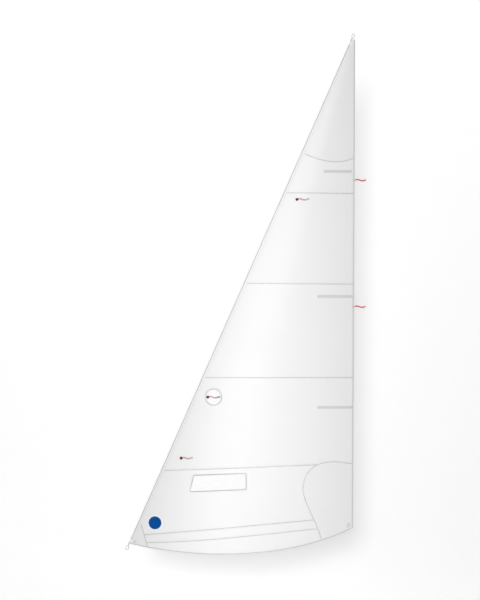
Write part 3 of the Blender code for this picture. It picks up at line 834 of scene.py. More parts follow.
def close_ply(
    name: str, flat: Array, faces: Array, level: Level, thickness: float
) -> Piece:
    """Two faces on the moulded surface, and the cut edge between them.

    Args:
        name: The object's name.
        flat: Points of the pattern in world x and z.
        faces: Triangles of the pattern, turning left seen from port.
        level: Place of the port face along Y from the surface.
        thickness: Thickness along Y.

    Returns:
        The ply.
    """
    used, faces = np.unique(faces, return_inverse=True)
    flat, faces = flat[used], faces.reshape(-1, 3)
    x, z = flat.T
    port = LOFT.on_cloth(x, z, level(x, z) if callable(level) else level)
    count = len(flat)
    pairs = {(int(a), int(b)) for face in faces for a, b in zip(face, np.roll(face, -1))}
    walls = [(b, a, a + count, b + count) for a, b in pairs if (b, a) not in pairs]
    every = [tuple(face) for face in faces.tolist()]
    every += [(a + count, c + count, b + count) for a, b, c in faces.tolist()]
    both = np.concatenate([port, port + np.array([0.0, thickness, 0.0])])
    return smoothed(add_mesh(name, both, every + sorted(walls), np.tile(flat, (2, 1))))


def sweep(name: str, rings: Array, sides: Array) -> Piece:
    """A closed section carried along a run and capped at both ends.

    Args:
        name: The object's name.
        rings: Points of each section in world space, as an array of sections by points by 3.
        sides: Distance round the section at each of its points.

    Returns:
        The swept piece.
    """
    count, around = rings.shape[:2]
    faces: list[tuple[int, ...]] = []
    for base in range(0, (count - 1) * around, around):
        for side in range(around):
            after = (side + 1) % around
            faces.append((base + side, base + after, base + around + after, base + around + side))
    faces += [tuple(range(around))[::-1], tuple(range((count - 1) * around, count * around))]
    lengths = distances(rings.mean(axis=1))
    uv = np.stack([np.repeat(lengths, around), np.tile(sides, count)], axis=1)
    thing = add_mesh(name, rings.reshape(-1, 3), faces, uv)
    with reshaped(thing) as shape:
        bmesh.ops.recalc_face_normals(shape, faces=shape.faces[:])
    return smoothed(thing)


def fold_section(width: float, low: float, high: float, wall: float, steps: int = 8) -> Array:
    """Section of a tape folded round an edge, as distance in from the edge and level.

    Args:
        width: How far the tape reaches in from the edge.
        low: Level of its outer port face.
        high: Level of its outer starboard face.
        wall: Thickness of the tape.
        steps: Stretches in the half-round fold.

    Returns:
        The closed section.
    """
    middle, radius = (low + high) / 2, (high - low) / 2
    turn = np.linspace(-math.pi / 2, math.pi / 2, steps + 1)
    layers = []
    for reach, turns, sign in ((radius, turn, 1), (radius - wall, turn[::-1], -1)):
        bend = [(radius - reach * math.cos(a), middle + reach * math.sin(a)) for a in turns]
        layers += [(width, middle - sign * reach), *bend, (width, middle + sign * reach)]
    return np.array(layers)


def layer_sides(section: Array) -> Array:
    """Distance from a folded layer's middle at each point of its section, outer face first.

    Args:
        section: The section.

    Returns:
        The distances.
    """
    across = distances(section[: len(section) // 2])
    across -= across[-1] / 2
    return np.concatenate([across, across[::-1]])


class Kind(Enum):
    """Kinds of socket on a shared effect."""

    VALUE = "NodeSocketFloat"
    VECTOR = "NodeSocketVector"
    COLOUR = "NodeSocketColor"


class Effects:
    """Shader node groups that more than one finish uses. Each takes a place as its Vector."""

    groups: dict[str, Tree] = {}
    # Power that shapes the painted shade in a weave's low gaps
    painted_gap_shade_power = 0.4
    cloud_detail = {"Detail": 5.0, "Roughness": 0.6}
    cloud_range = (0.3, 0.7)
    fine_scratches = {"Scale": 2600.0, "Detail": 3.0, "Distortion": 1.2}
    broad_scratches = {"Scale": 240.0, "Detail": 4.0}

    @classmethod
    def get(cls, name: str) -> Tree:
        """A group by its name, built the first time that it is asked for.

        Args:
            name: The group's name.

        Returns:
            The group.
        """
        if name not in cls.groups:
            cls.groups[name] = getattr(cls, name)()
        return cls.groups[name]

    @staticmethod
    def new(
        name: str, takes: dict[str, Kind], gives: dict[str, Kind]
    ) -> tuple["NodeMaker", Sockets, Sockets]:
        """An empty group with its sockets.

        Args:
            name: The group's name.
            takes: Its inputs beside the place.
            gives: Its outputs.

        Returns:
            A maker for the group's nodes, and the sockets inside it for what it takes and gives.
        """
        tree = bpy.data.node_groups.new(name, "ShaderNodeTree")
        for way, sockets in (("INPUT", {"Vector": Kind.VECTOR, **takes}), ("OUTPUT", gives)):
            for label, kind in sockets.items():
                tree.interface.new_socket(name=label, in_out=way, socket_type=kind.value)
        make = NodeMaker(tree)
        return make, make.add("NodeGroupInput"), tree.nodes.new("NodeGroupOutput").inputs

    @classmethod
    def weave(cls) -> Tree:
        """Plain weave: warp and weft pass over each other in turn, and Shade is painted shade, strongest in
        the low gaps between threads. Threads is their count in a metre.

        Returns:
            The group.
        """
        gives = {"Height": Kind.VALUE, "Shade": Kind.VALUE}
        make, given, result = cls.new("weave", {"Threads": Kind.VALUE}, gives)
        split = make.add("ShaderNodeSeparateXYZ", {0: given["Vector"]})
        axes = [make.math("MULTIPLY", split[axis], given["Threads"]) for axis in (0, 1)]
        waves = [make.math("SINE", make.math("MULTIPLY", axis, math.pi)) for axis in axes]
        rounds = [make.math("ABSOLUTE", wave) for wave in waves]
        steps = make.math("ADD", make.math("FLOOR", axes[0]), make.math("FLOOR", axes[1]))
        over = make.math("ABSOLUTE", make.math("MODULO", steps, 2.0))
        warp = make.math("MULTIPLY", rounds[0], over)
        weft = make.math("MULTIPLY", rounds[1], make.math("SUBTRACT", 1.0, over))
        height = make.math("ADD", warp, weft)
        make.fill(result["Height"], height)
        make.fill(result["Shade"], make.math("SUBTRACT", 1.0, make.math("POWER", height, cls.painted_gap_shade_power)))
        return make.tree

    @classmethod
    def mottle(cls) -> Tree:
        """A colour that wanders a little darker in soft clouds. Size is clouds in a metre.

        Returns:
            The group.
        """
        takes = {"Colour": Kind.COLOUR, "Size": Kind.VALUE, "Amount": Kind.VALUE}
        make, given, result = cls.new("mottle", takes, {"Colour": Kind.COLOUR})
        look = {"Vector": given["Vector"], "Scale": given["Size"], **cls.cloud_detail}
        cloud = make.spread(make.add("ShaderNodeTexNoise", look)[0], cls.cloud_range)
        dark = make.math("MULTIPLY", cloud, given["Amount"])
        make.fill(result["Colour"], make.scaled(given["Colour"], make.math("SUBTRACT", 1.0, dark)))
        return make.tree

    @classmethod
    def scratches(cls) -> Tree:
        """Fine rubbed lines and dull spots on metal, as a roughness and a height.

        Returns:
            The group.
        """
        takes = {"Roughness": Kind.VALUE, "Amount": Kind.VALUE}
        make, given, result = cls.new("scratches", takes, {"Roughness": Kind.VALUE, "Height": Kind.VALUE})
        fine = make.add("ShaderNodeTexNoise", {"Vector": given["Vector"], **cls.fine_scratches})[0]
        broad = make.add("ShaderNodeTexNoise", {"Vector": given["Vector"], **cls.broad_scratches})[0]
        both = make.math("MULTIPLY", make.math("ADD", fine, broad), 0.5)
        centred = make.math("MULTIPLY", make.math("SUBTRACT", both, 0.5), given["Amount"])
        make.fill(result["Roughness"], make.math("ADD", given["Roughness"], centred))
        make.fill(result["Height"], both)
        return make.tree


class NodeMaker:
    """Adds and links nodes in one tree."""

    def __init__(self, tree: Tree) -> None:
        """Keep the tree that nodes are added to."""
        self.tree = tree

    def fill(self, socket: Socket, value: Value) -> None:
        """Link a socket to another, or set it to a plain value.

        Args:
            socket: The socket.
            value: What it is given.
        """
        if isinstance(value, Socket):
            self.tree.links.new(value, socket)
        else:
            socket.default_value = value

    def add(self, kind: str, values: Fill | None = None, **settings: str | Tree) -> Sockets:
        """A new node.

        Args:
            kind: Its type.
            values: What its inputs are filled with, by their numbers or names.
            settings: Its own settings, made before that.

        Returns:
            Its outputs.
        """
        node = self.tree.nodes.new(kind)
        for label, setting in settings.items():
            setattr(node, label, setting)
        for label, value in (values or {}).items():
            self.fill(node.inputs[label], value)
        return node.outputs

    def place(self) -> Socket:
        """A point's place in the piece's own space."""
        return self.add("ShaderNodeTexCoord")["Object"]

    def math(self, operation: str, *values: Value) -> Socket:
        """The result of a Math node on some values."""
        return self.add("ShaderNodeMath", dict(enumerate(values)), operation=operation)[0]

    def scaled(self, colour: Socket, factor: Socket) -> Socket:
        """A colour times a number."""
        return self.add("ShaderNodeVectorMath", {0: colour, "Scale": factor}, operation="SCALE")[0]

    def blend(self, factor: Socket, first: Colour, second: Colour) -> Socket:
        """A colour between two, by a factor."""
        ends = {6: (*first, 1.0), 7: (*second, 1.0)}
        return self.add("ShaderNodeMix", {0: factor, **ends}, data_type="RGBA")[2]

    def spread(self, value: Socket, ends: Sequence[float], way: str = "LINEAR") -> Socket:
        """A value carried from one range to another.

        Args:
            value: The value.
            ends: Ends of the range that it comes from, then of the new one where that isn't 0 to 1.
            way: How it runs in between.

        Returns:
            The carried value.
        """
        limits = zip(("From Min", "From Max", "To Min", "To Max"), ends)
        return self.add("ShaderNodeMapRange", {"Value": value, **dict(limits)}, interpolation_type=way)[0]

    def ramp(self, value: Socket, low: float, high: float) -> Socket:
        """A smooth step from 0 at one value to 1 at another."""
        return self.spread(value, (low, high), "SMOOTHSTEP")

    def group(self, name: str, place: Socket, **values: Value) -> Sockets:
        """The results of a shared effect at a place, with its other inputs filled by name."""
        return self.add("ShaderNodeGroup", {"Vector": place, **values}, node_tree=Effects.get(name))

    def tint(self, shader: Node, place: Socket, finish: "Coat") -> None:
        """Give a shader a finish's colour in soft clouds."""
        look = {"Colour": finish.full_colour, "Size": finish.cloud_size, "Amount": finish.mottle}
        self.fill(shader.inputs["Base Color"], self.group("mottle", place, **look)["Colour"])

    def rub(self, shader: Node, place: Socket, finish: "Coat") -> Socket:
        """Rub a finish's fine scratches into a shader, and give their height.

        Args:
            shader: The shader.
            place: A point's place.
            finish: The finish.

        Returns:
            The height.
        """
        marks = self.group("scratches", place, Roughness=finish.roughness, Amount=finish.wear)
        self.fill(shader.inputs["Roughness"], marks["Roughness"])
        return marks["Height"]

    def bump(self, shader: Node, height: Socket, distance: float, strength: float) -> None:
        """Raise a shader's surface by a height."""
        values = {"Distance": distance, "Strength": strength, "Height": height}
        self.fill(shader.inputs["Normal"], self.add("ShaderNodeBump", values)[0])

    def mix(self, factor: Socket, first: Socket, second: Socket) -> Socket:
        """A shader between two, by a factor."""
        return self.add("ShaderNodeMixShader", {0: factor, 1: first, 2: second})[0]

    def show(self, shader: Socket) -> None:
        """Make a shader the one that the material shows."""
        self.fill(self.tree.nodes["Material Output"].inputs["Surface"], shader)


@dataclass(frozen=True)
class Coat:
    """What every finish has: its name, the record's material slot, a colour and a roughness."""

    name: str
    slot: str
    colour: Colour
    roughness: float = 0.6

    @cached_property
    def full_colour(self) -> tuple[float, ...]:
        """The colour with its alpha."""
        return (*self.colour, 1.0)

    @cached_property
    def material(self) -> Material:
        """The finish as a material.

        Returns:
            The material.
        """
        material, make, shader = principled(self.name, self.roughness)
        self.lay(make, shader)
        return material

    def lay(self, make: NodeMaker, shader: Node) -> None:
        """Work the finish into a material. The plain one has nothing but its colour.

        Args:
            make: Adds the material's nodes; not used here.
            shader: Its Principled shader.
        """
        shader.inputs["Base Color"].default_value = self.full_colour


@dataclass(frozen=True)
class ClothFinish(Coat):
    """Woven cloth or ribbon on the piece's own cloth map, with painted shade in the gaps of its weave."""

    threads: float = 1500.0
    weave_depth: float = 0.00006
    mottle: float = 0.012
    cloud_size: float = 3.0
    sheen: float = 0.0
    # shade: how far painted shade darkens the colour in the weave's gaps
    shade: float = 0.05
    specular: float = 0.5
    relief: float = 0.7

    def dye(self, make: NodeMaker, place: Socket) -> Value:
        """The cloth's own colour, before its clouds and its weave."""
        return self.full_colour

    def lay(self, make: NodeMaker, shader: Node) -> None:
        """Weave the cloth in its colour, darkened by painted shade in the weave's gaps.

        Args:
            make: Adds the material's nodes.
            shader: Its Principled shader.
        """
        shader.inputs["Sheen Weight"].default_value = self.sheen
        shader.inputs["Specular IOR Level"].default_value = self.specular
        place = make.add("ShaderNodeUVMap", uv_map=CLOTH_MAP)[0]
        weave = make.group("weave", place, Threads=self.threads)
        dye = self.dye(make, place)
        clouds = make.group("mottle", place, Colour=dye, Size=self.cloud_size, Amount=self.mottle)
        # Painted shade: the colour is darkened where the weave is low
        darker = make.math("MULTIPLY", weave["Shade"], self.shade)
        colour = make.scaled(clouds["Colour"], make.math("SUBTRACT", 1.0, darker))
        make.fill(shader.inputs["Base Color"], colour)
        make.bump(shader, weave["Height"], self.weave_depth, self.relief)


@dataclass(frozen=True)
class SleeveFinish(ClothFinish):
    """Sleeve cloth, grey along its bead; the map's second axis counts from there."""

    bead: Colour = (0.52, 0.52, 0.525)
    bead_reach: float = 0.0085
    bead_edge: float = 0.0105

    def dye(self, make: NodeMaker, place: Socket) -> Value:
        """Grey over the bead, and the cloth's own colour on the flanges."""
        across = make.math("ABSOLUTE", make.add("ShaderNodeSeparateXYZ", {0: place})[1])
        return make.blend(make.ramp(across, self.bead_reach, self.bead_edge), self.bead, self.colour)


@dataclass(frozen=True)
class FadedFinish(ClothFinish):
    """Ribbon that the sun has bleached towards its free end, along the map's first axis."""

    end: Colour = (0.60, 0.44, 0.45)
    kept: float = 0.015
    faded: float = 0.070

    def dye(self, make: NodeMaker, place: Socket) -> Value:
        """The ribbon's own colour at its root, and the faded one at its end."""
        along = make.add("ShaderNodeSeparateXYZ", {0: place})[0]
        return make.blend(make.ramp(along, self.kept, self.faded), self.colour, self.end)


@dataclass(frozen=True)
class MetalFinish(Coat):
    """Worn bright metal."""

    wear: float = 0.25
    mottle: float = 0.22
    cloud_size: float = 180.0
    scratch_depth: float = 0.00002
    relief: float = 0.35

    def lay(self, make: NodeMaker, shader: Node) -> None:
        """Mottle and scratch the metal.

        Args:
            make: Adds the material's nodes.
            shader: Its Principled shader.
        """
        shader.inputs["Metallic"].default_value = 1.0
        place = make.place()
        make.tint(shader, place, self)
        marks = make.rub(shader, place, self)
        make.bump(shader, marks, self.scratch_depth, self.relief)


@dataclass(frozen=True)
class FilmFinish(Coat):
    """Clear window film, faintly rippled and hazed, that lets light through to what is behind it."""

    ior: float = 1.45
    wear: float = 0.06
    mottle: float = 0.03
    cloud_size: float = 40.0
    sags: float = 14.0
    sag_depth: float = 0.0006
    relief: float = 0.5

    def lay(self, make: NodeMaker, shader: Node) -> None:
        """Haze and ripple the film.

        Args:
            make: Adds the material's nodes.
            shader: Its Principled shader.
        """
        shader.inputs["Transmission Weight"].default_value = 1.0
        shader.inputs["IOR"].default_value = self.ior
        place = make.place()
        make.tint(shader, place, self)
        make.rub(shader, place, self)
        sag = make.add("ShaderNodeTexNoise", {"Vector": place, "Scale": self.sags, "Detail": 1.0})[0]
        make.bump(shader, sag, self.sag_depth, self.relief)
        shadow = make.add("ShaderNodeLightPath")["Is Shadow Ray"]
        clear = make.add("ShaderNodeBsdfTransparent")[0]
        make.show(make.mix(shadow, shader.outputs[0], clear))


@dataclass(frozen=True)
class BattenFinish(Coat):
    """Glass fibre in resin: pale, with streaks along the batten."""

    streaks: tuple[float, float, float] = (4.0, 60.0, 900.0)
    streak_depth: float = 0.00004
    mottle: float = 0.25
    cloud_size: float = 1.0
    relief: float = 0.5

    def lay(self, make: NodeMaker, shader: Node) -> None:
        """Streak the fibre.

        Args:
            make: Adds the material's nodes.
            shader: Its Principled shader.
        """
        drawn_out = make.add("ShaderNodeMapping", {"Vector": make.place(), "Scale": self.streaks})[0]
        fibres = make.add("ShaderNodeTexNoise", {"Vector": drawn_out, "Scale": 1.0, "Detail": 4.0})[0]
        make.tint(shader, drawn_out, self)
        make.bump(shader, fibres, self.streak_depth, self.relief)


def principled(name: str, roughness: float) -> tuple[Material, NodeMaker, Node]:
    """A new material with its shader.

    Args:
        name: The material's name.
        roughness: Roughness where nothing is linked.

    Returns:
        The material, a maker for its nodes and its Principled shader.
    """
    material = bpy.data.materials.new(name)
    material.use_nodes = True
    shader = material.node_tree.nodes["Principled BSDF"]
    shader.inputs["Roughness"].default_value = roughness
    return material, NodeMaker(material.node_tree), shader


NYLON = {"roughness": 0.45, "threads": 2600.0, "cloud_size": 28.0, "specular": 0.3}
STICKER = {"roughness": 0.45, "threads": 2400.0, "weave_depth": 0.00002}
DOT = {"threads": 2200.0, "shade": 0.2, "specular": 0.15}
TWIST = {"roughness": 0.5, "threads": 3000.0, "weave_depth": 0.00003}


class Finish(Enum):
    """Every finish of the sail."""

    SAILCLOTH = ClothFinish("sailcloth", "sailcloth", (0.93, 0.93, 0.93), sheen=0.04)
    PATCH = ClothFinish("patch_cloth", "patch_cloth", (0.915, 0.915, 0.915), threads=1250.0, sheen=0.04)
    TAPE = ClothFinish("edge_tape", "tape", (0.70, 0.70, 0.705), threads=1100.0, shade=0.1)
    SLEEVE = SleeveFinish("sleeve_cloth", "tape", (0.91, 0.91, 0.91), threads=1100.0)
    POCKET = ClothFinish("pocket_cloth", "pocket", (0.735, 0.735, 0.74), threads=1250.0, shade=0.1)
    THREAD = ClothFinish("grey_thread", "tape", (0.24, 0.24, 0.245), **TWIST)
    PALE_THREAD = ClothFinish("pale_thread", "tape", (0.72, 0.72, 0.72), **TWIST)
    FILM = FilmFinish("window_film", "window_film", (0.99, 0.995, 0.995), 0.07)
    WIRE = MetalFinish("wire_steel", "wire", (0.60, 0.61, 0.63), 0.28)
    FITTING = MetalFinish("fitting_steel", "fittings", (0.68, 0.69, 0.71), 0.24)
    ALLOY = MetalFinish("ferrule_alloy", "fittings", (0.72, 0.73, 0.75), 0.42, 0.35)
    BATTEN = BattenFinish("batten_fibre", "batten", (0.78, 0.80, 0.66), 0.32)
    DOT_RED = ClothFinish("dot_red", "dot_red", (0.15, 0.009, 0.008), **DOT)
    DOT_GREEN = ClothFinish("dot_green", "dot_green", (0.008, 0.14, 0.04), **DOT)
    TAIL_RED = FadedFinish("faded_red_nylon", "ribbon_red", (0.70, 0.41, 0.38), mottle=0.2, **NYLON)
    TAIL_GREEN = FadedFinish(
        "faded_green_nylon", "ribbon_green", (0.16, 0.42, 0.22), mottle=0.2, end=(0.33, 0.44, 0.36), **NYLON
    )
    RIBBON_RED = ClothFinish("ribbon_red_nylon", "ribbon_red", (0.70, 0.13, 0.095), mottle=0.15, **NYLON)
    EMBLEM_WHITE = ClothFinish("emblem_white", "emblem_white", (0.99, 0.99, 0.99), mottle=0.01, **STICKER)
    EMBLEM_BLUE = ClothFinish(
        "emblem_blue", "emblem_blue", (0.0, 0.082, 0.34), mottle=0.1, specular=0.1, **STICKER
    )


def coat(thing: Piece, finish: Finish) -> None:
    """Give a piece its finish.

    Args:
        thing: The piece.
        finish: Its finish.
    """
    thing.data.materials.clear()
    thing.data.materials.append(finish.value.material)


def dress(thing: Piece, finish: Finish, replaces: Sequence[str] = (), body: str = "sail") -> None:
    """Give a piece its finish, hide the frame's nodes that it stands for, and put it on the body that it
    rides on.

    Args:
        thing: The piece.
        finish: Its finish.
        replaces: The frame's nodes that it stands for.
        body: The body that it rides on.
    """
    coat(thing, finish)
    if replaces:
        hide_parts(*replaces)
    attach(thing, body)
    LOG.info("%s: %d faces on %s", thing.name, len(thing.data.polygons), body)


def cut(
    name: str,
    outline: Run,
    level: Level,
    finish: Finish,
    holes: Sequence[Run] = (),
    kind: str = "cloth",
    **fineness: float,
) -> None:
    """Cut a ply from flat cloth and lay it on the sail.

    Args:
        name: The node that it stands for.
        outline: Its edge in world x and z.
        level: Place of its port face along Y from the surface.
        finish: Its finish.
        holes: Edges of the holes in it.
        kind: What it is, as the end of the piece's name.
        fineness: Its thickness and the spacing of its points, where they aren't the usual ones.
    """
    thing = lay_cloth(f"{name}_{kind}", outline, level, holes, **fineness)
    dress(thing, finish, [name])


def bind(
    name: str, rings: Array, section: Array, length: float, finish: Finish, **hold: str | list
) -> None:
    """Form a long strip of cloth along the sail.

    Args:
        name: The node that it stands for.
        rings: Points of each of its sections in world space.
        section: The section that its flat width is measured round.
        length: Its flat length; not used.
        finish: Its finish.
        hold: How it is held, and what it rests on; not used.
    """
    sides = layer_sides(section)
    thing = sweep(name + "_cloth", rings, sides)
    dress(thing, finish, [name])


@dataclass(frozen=True)
class Stitch:
    """A zigzag stitch: width of its row, length of a full zigzag, and the thread's half-width and rise."""

    width: float
    pitch: float
    thread: float
    rise: float = 0.7


class StitchStyle(Enum):
    """The rows that a sailmaker sews."""

    SEAM = Stitch(0.0060, 0.0026, 0.00034)
    INNER = Stitch(0.0045, 0.0040, 0.00026)
    EDGE = Stitch(0.0036, 0.0036, 0.00026)
    WINDOW = Stitch(0.0032, 0.0024, 0.00027)


@dataclass(frozen=True)
class Row:
    """One row of stitches through all plies, from its path and the levels of the two outer faces."""

    path: Run
    style: StitchStyle = StitchStyle.EDGE
    port: float = TAPE_PORT
    starboard: float = TAPE_STARBOARD


class Sewing:
    """Sews rows of stitches, all copies of one modelled stitch."""

    @cached_property
    def stitch(self) -> tuple[Array, list[tuple[int, ...]]]:
        """Points and faces of a short thread that dips into the cloth at both ends.

        Returns:
            The points, and the faces as numbers of points.
        """
        model = primitive("stitch", bpy.ops.mesh.primitive_cylinder_add, vertices=3, radius=1.0, depth=1.0)
        with edited(model):
            bpy.ops.mesh.bisect(plane_co=(0.0, 0.0, 0.0), plane_no=(0.0, 0.0, 1.0))
            bpy.ops.transform.translate(value=(0.0, 1.0, 0.0))
            face_outwards()
        points = np.array([vertex.co for vertex in model.data.vertices])
        faces = [tuple(face.vertices) for face in model.data.polygons]
        bpy.data.objects.remove(model)
        return points, faces

    def legs(self, row: Row, face: Face) -> Array:
        """Points of every stitch of a row on one face of the sail.

        Args:
            row: The row.
            face: The side of the sail.

        Returns:
            An array of stitches by points by 3.
        """
        stitch = row.style.value
        spots = spaced(np.array(row.path), stitch.pitch / 2)
        side = np.where(np.arange(len(spots)) % 2 == 0, 0.5, -0.5)[:, None] * stitch.width
        x, z = (spots + left_of(spots) * side).T
        ends = LOFT.on_cloth(x, z, row.port if face is Face.PORT else row.starboard)
        middle = (ends[1:] + ends[:-1]) / 2
        clear = EYELETS.clear(middle[:, [0, 2]])
        out = LOFT.outward(x, z, face)[:-1][clear]
        along = np.diff(ends, axis=0)[clear]
        across = unit(np.cross(out, along))
        local = self.stitch[0]
        return (
            middle[clear][:, None]
            + along[:, None] * local[None, :, 2:3]
            + out[:, None] * (local[None, :, 1:2] * stitch.thread * stitch.rise)
            + across[:, None] * (local[None, :, 0:1] * stitch.thread)
        )

    def sew(self, name: str, rows: Sequence[Row], finish: Finish = Finish.PALE_THREAD) -> None:
        """All stitches of some rows, on both faces, as one piece.

        Args:
            name: What is sewn.
            rows: The rows.
            finish: The thread.
        """
        points = np.concatenate([self.legs(row, face) for row in rows for face in Face])
        starts = range(0, points.shape[0] * points.shape[1], points.shape[1])
        faces = [tuple(corner + start for corner in face) for start in starts for face in self.stitch[1]]
        flat = points.reshape(-1, 3)
        thing = add_mesh(name + "_stitching", flat, faces, flat[:, [0, 2]])
        with reshaped(thing) as shape:
            if shape.calc_volume(signed=True) < 0:
                bmesh.ops.reverse_faces(shape, faces=shape.faces[:])
        activate(thing)
        bpy.ops.object.shade_smooth()
        dress(thing, finish)


SEWING = Sewing()


@dataclass(frozen=True)
class EyeletPlaces:
    """Where the two eyelets pass through the cloth."""

    clew_inset: float = 0.034
    clew_bore: float = 0.008
    clew_flange: float = 0.016
    tack_inset: float = 0.024
    tack_bore: float = 0.0045
    tack_flange: float = 0.010
    wall: float = 0.001
    clearance: float = 0.001
    hole_steps: int = 40

    @cached_property
    def clew(self) -> Point:
        """Centre of the clew eyelet, the same distance from the leech and from the foot's end.

        Returns:
            World x and z.
        """
        end = (Vector(LOFT.foot[-1]) - Vector(LOFT.foot[-2])).normalized()
        x, z = PLAN.clew_point
        return (x - self.clew_inset, z - self.clew_inset * end.y / end.x + self.clew_inset / end.x)

    @cached_property
    def tack(self) -> Point:
        """Centre of the tack eyelet, one inset from the cloth's luff edge and one from the foot.

        Returns:
            World x and z.
        """
        start = (Vector(LOFT.foot[1]) - Vector(LOFT.foot[0])).normalized()
        corner = Vector(LOFT.foot[0]) + Vector((-start.y, start.x)) * self.tack_inset
        lean = start.x * PLAN.across.x + start.y * PLAN.across.z
        slide = (LUFF_INSET + self.tack_inset - LOFT.past_luff(tuple(corner), 0.0)) / lean
        return tuple(corner + start * slide)

    @cached_property
    def sizes(self) -> dict[str, tuple[Point, float, float]]:
        """Centre of each eyelet, and the radii of its bore and its flange.

        Returns:
            The sizes by the corner's name.
        """
        return {
            "clew": (self.clew, self.clew_bore, self.clew_flange),
            "tack": (self.tack, self.tack_bore, self.tack_flange),
        }

    def clear(self, points: Array) -> Array:
        """Which points lie outside both flanges, with room for a stitch.

        Args:
            points: World x and z of each point.

        Returns:
            True for each point that does.
        """
        clear = np.full(len(points), True)
        for place, _, flange in self.sizes.values():
            clear &= np.linalg.norm(points - np.array(place), axis=1) > flange + self.wall
        return clear

    def hole(self, corner: str) -> Run:
        """The edge of the hole that an eyelet's barrel takes in each ply."""
        place, bore, _ = self.sizes[corner]
        return circle(place, bore + self.wall + self.clearance, self.hole_steps)


EYELETS = EyeletPlaces()


@dataclass(frozen=True)
class WindowPlan:
    """Edges of the two windows, counted from the tack corner."""

    lap: float = 0.007
    foot: Corners = ((0.4844, 0.5158), (0.8813, 0.5315), (0.8813, 0.4044), (0.4545, 0.3872))
    round_centre: Point = (0.6357, 1.0951)
    round_radius: float = 0.064

    def foot_ring(self, inset: float = 0.0) -> Run:
        """The edge of the foot window's film, moved inwards."""
        ring = np.array(PLAN.placed_all(self.foot))
        return as_run(ring + np.sign(ring.mean(axis=0) - ring) * inset)

    def round_ring(self, inset: float = 0.0) -> Run:
        """The edge of the round window's film, moved inwards."""
        return circle(PLAN.placed(self.round_centre), self.round_radius - inset)


WINDOWS = WindowPlan()


@dataclass(frozen=True)
class Panels:
    """The seven cloths and the seams that join them."""

    row_in: float = 0.0038
    second_row_in: float = 0.0108
    notch_steps: int = 8

    def build(self) -> None:
        """Lay the cloths and sew their seams."""
        self.lay_foot()
        self.lay_panels()
        self.sew_seams()

    def lay_foot(self) -> None:
        """The skirt and the band along the foot."""
        seam = LOFT.curve(SEAMS.band_bottom)
        start = PLAN.placed((SEAMS.skirt_start, 0.0))[0]
        low = [point for point in LOFT.trimmed(LOFT.foot_inner) if point[0] > start]
        high = [point for point in LOFT.trimmed(shifted(seam, SEAM_LAP)) if point[0] > start]
        cut("foot_skirt", self.notched(low + high[::-1]), BACK_PLY, Finish.SAILCLOTH)
        band = LOFT.trimmed(seam) + LOFT.trimmed(LOFT.straight(SEAMS.band_top))[::-1]
        cut("foot_band", self.notched(band), FRONT_PLY, Finish.SAILCLOTH, [EYELETS.hole("tack")])

    def notched(self, outline: Run) -> Run:
        """An outline whose edge steps round the clew eyelet's barrel where it crosses it.

        Args:
            outline: The edge of a cloth.

        Returns:
            The edge with its notch.
        """
        centre = np.array(EYELETS.clew)
        radius = EYELETS.clew_bore + EYELETS.wall + EYELETS.clearance
        ring = resampled(np.array(outline), radius / self.notch_steps, closed=True)
        away = ring - centre
        distance = np.linalg.norm(away, axis=1)[:, None]
        if (distance >= radius).all():
            return outline
        return as_run(np.where(distance < radius, centre + away / distance * radius, ring))

    def lay_panels(self) -> None:
        """The straight cloths, every second one behind its neighbours."""
        holes = {
            "panel_1": [WINDOWS.foot_ring(WINDOWS.lap)],
            "panel_2": [WINDOWS.round_ring(WINDOWS.lap)],
        }
        edges = SEAMS.straight
        for index, low in enumerate(edges):
            behind = index % 2 == 0
            last = index == len(edges) - 1
            lap = SEAM_LAP if behind else 0.0
            name = "head_panel" if last else f"panel_{index + 1}"
            above = LOFT.head_top if last else LOFT.straight(edges[index + 1], lap)
            outline = LOFT.trimmed(LOFT.straight(low, -lap)) + LOFT.trimmed(above)[::-1]
            level = BACK_PLY if behind else FRONT_PLY
            cut(name, outline, level, Finish.SAILCLOTH, holes.get(name, ()))

    def sew_seams(self) -> None:
        """Two rows through the lap of every seam."""
        skirt = LOFT.curve(SEAMS.band_bottom)
        self.sew_seam("skirt_seam", lambda inset: shifted(skirt, inset))
        for index, seam in enumerate(SEAMS.straight):
            side = -1 if index % 2 == 0 else 1
            self.sew_seam(f"seam_{index + 1}", lambda inset: LOFT.straight(seam, side * inset))

    def sew_seam(self, name: str, run_at: Callable[[float], Run]) -> None:
        """The two rows of one seam.

        Args:
            name: The seam's name.
            run_at: Gives the run that lies a distance in from the seam's free edge.
        """
        for label, inset, style, finish in (
            (name, self.row_in, StitchStyle.SEAM, Finish.THREAD),
            (name + "_inner", self.second_row_in, StitchStyle.INNER, Finish.PALE_THREAD),
        ):
            run = LOFT.trimmed(run_at(inset), SLEEVE_FLANGE, TAPE_WIDTH)
            SEWING.sew(label, [Row(run, style, FRONT_PLY, BACK_PLY + CLOTH)], finish)


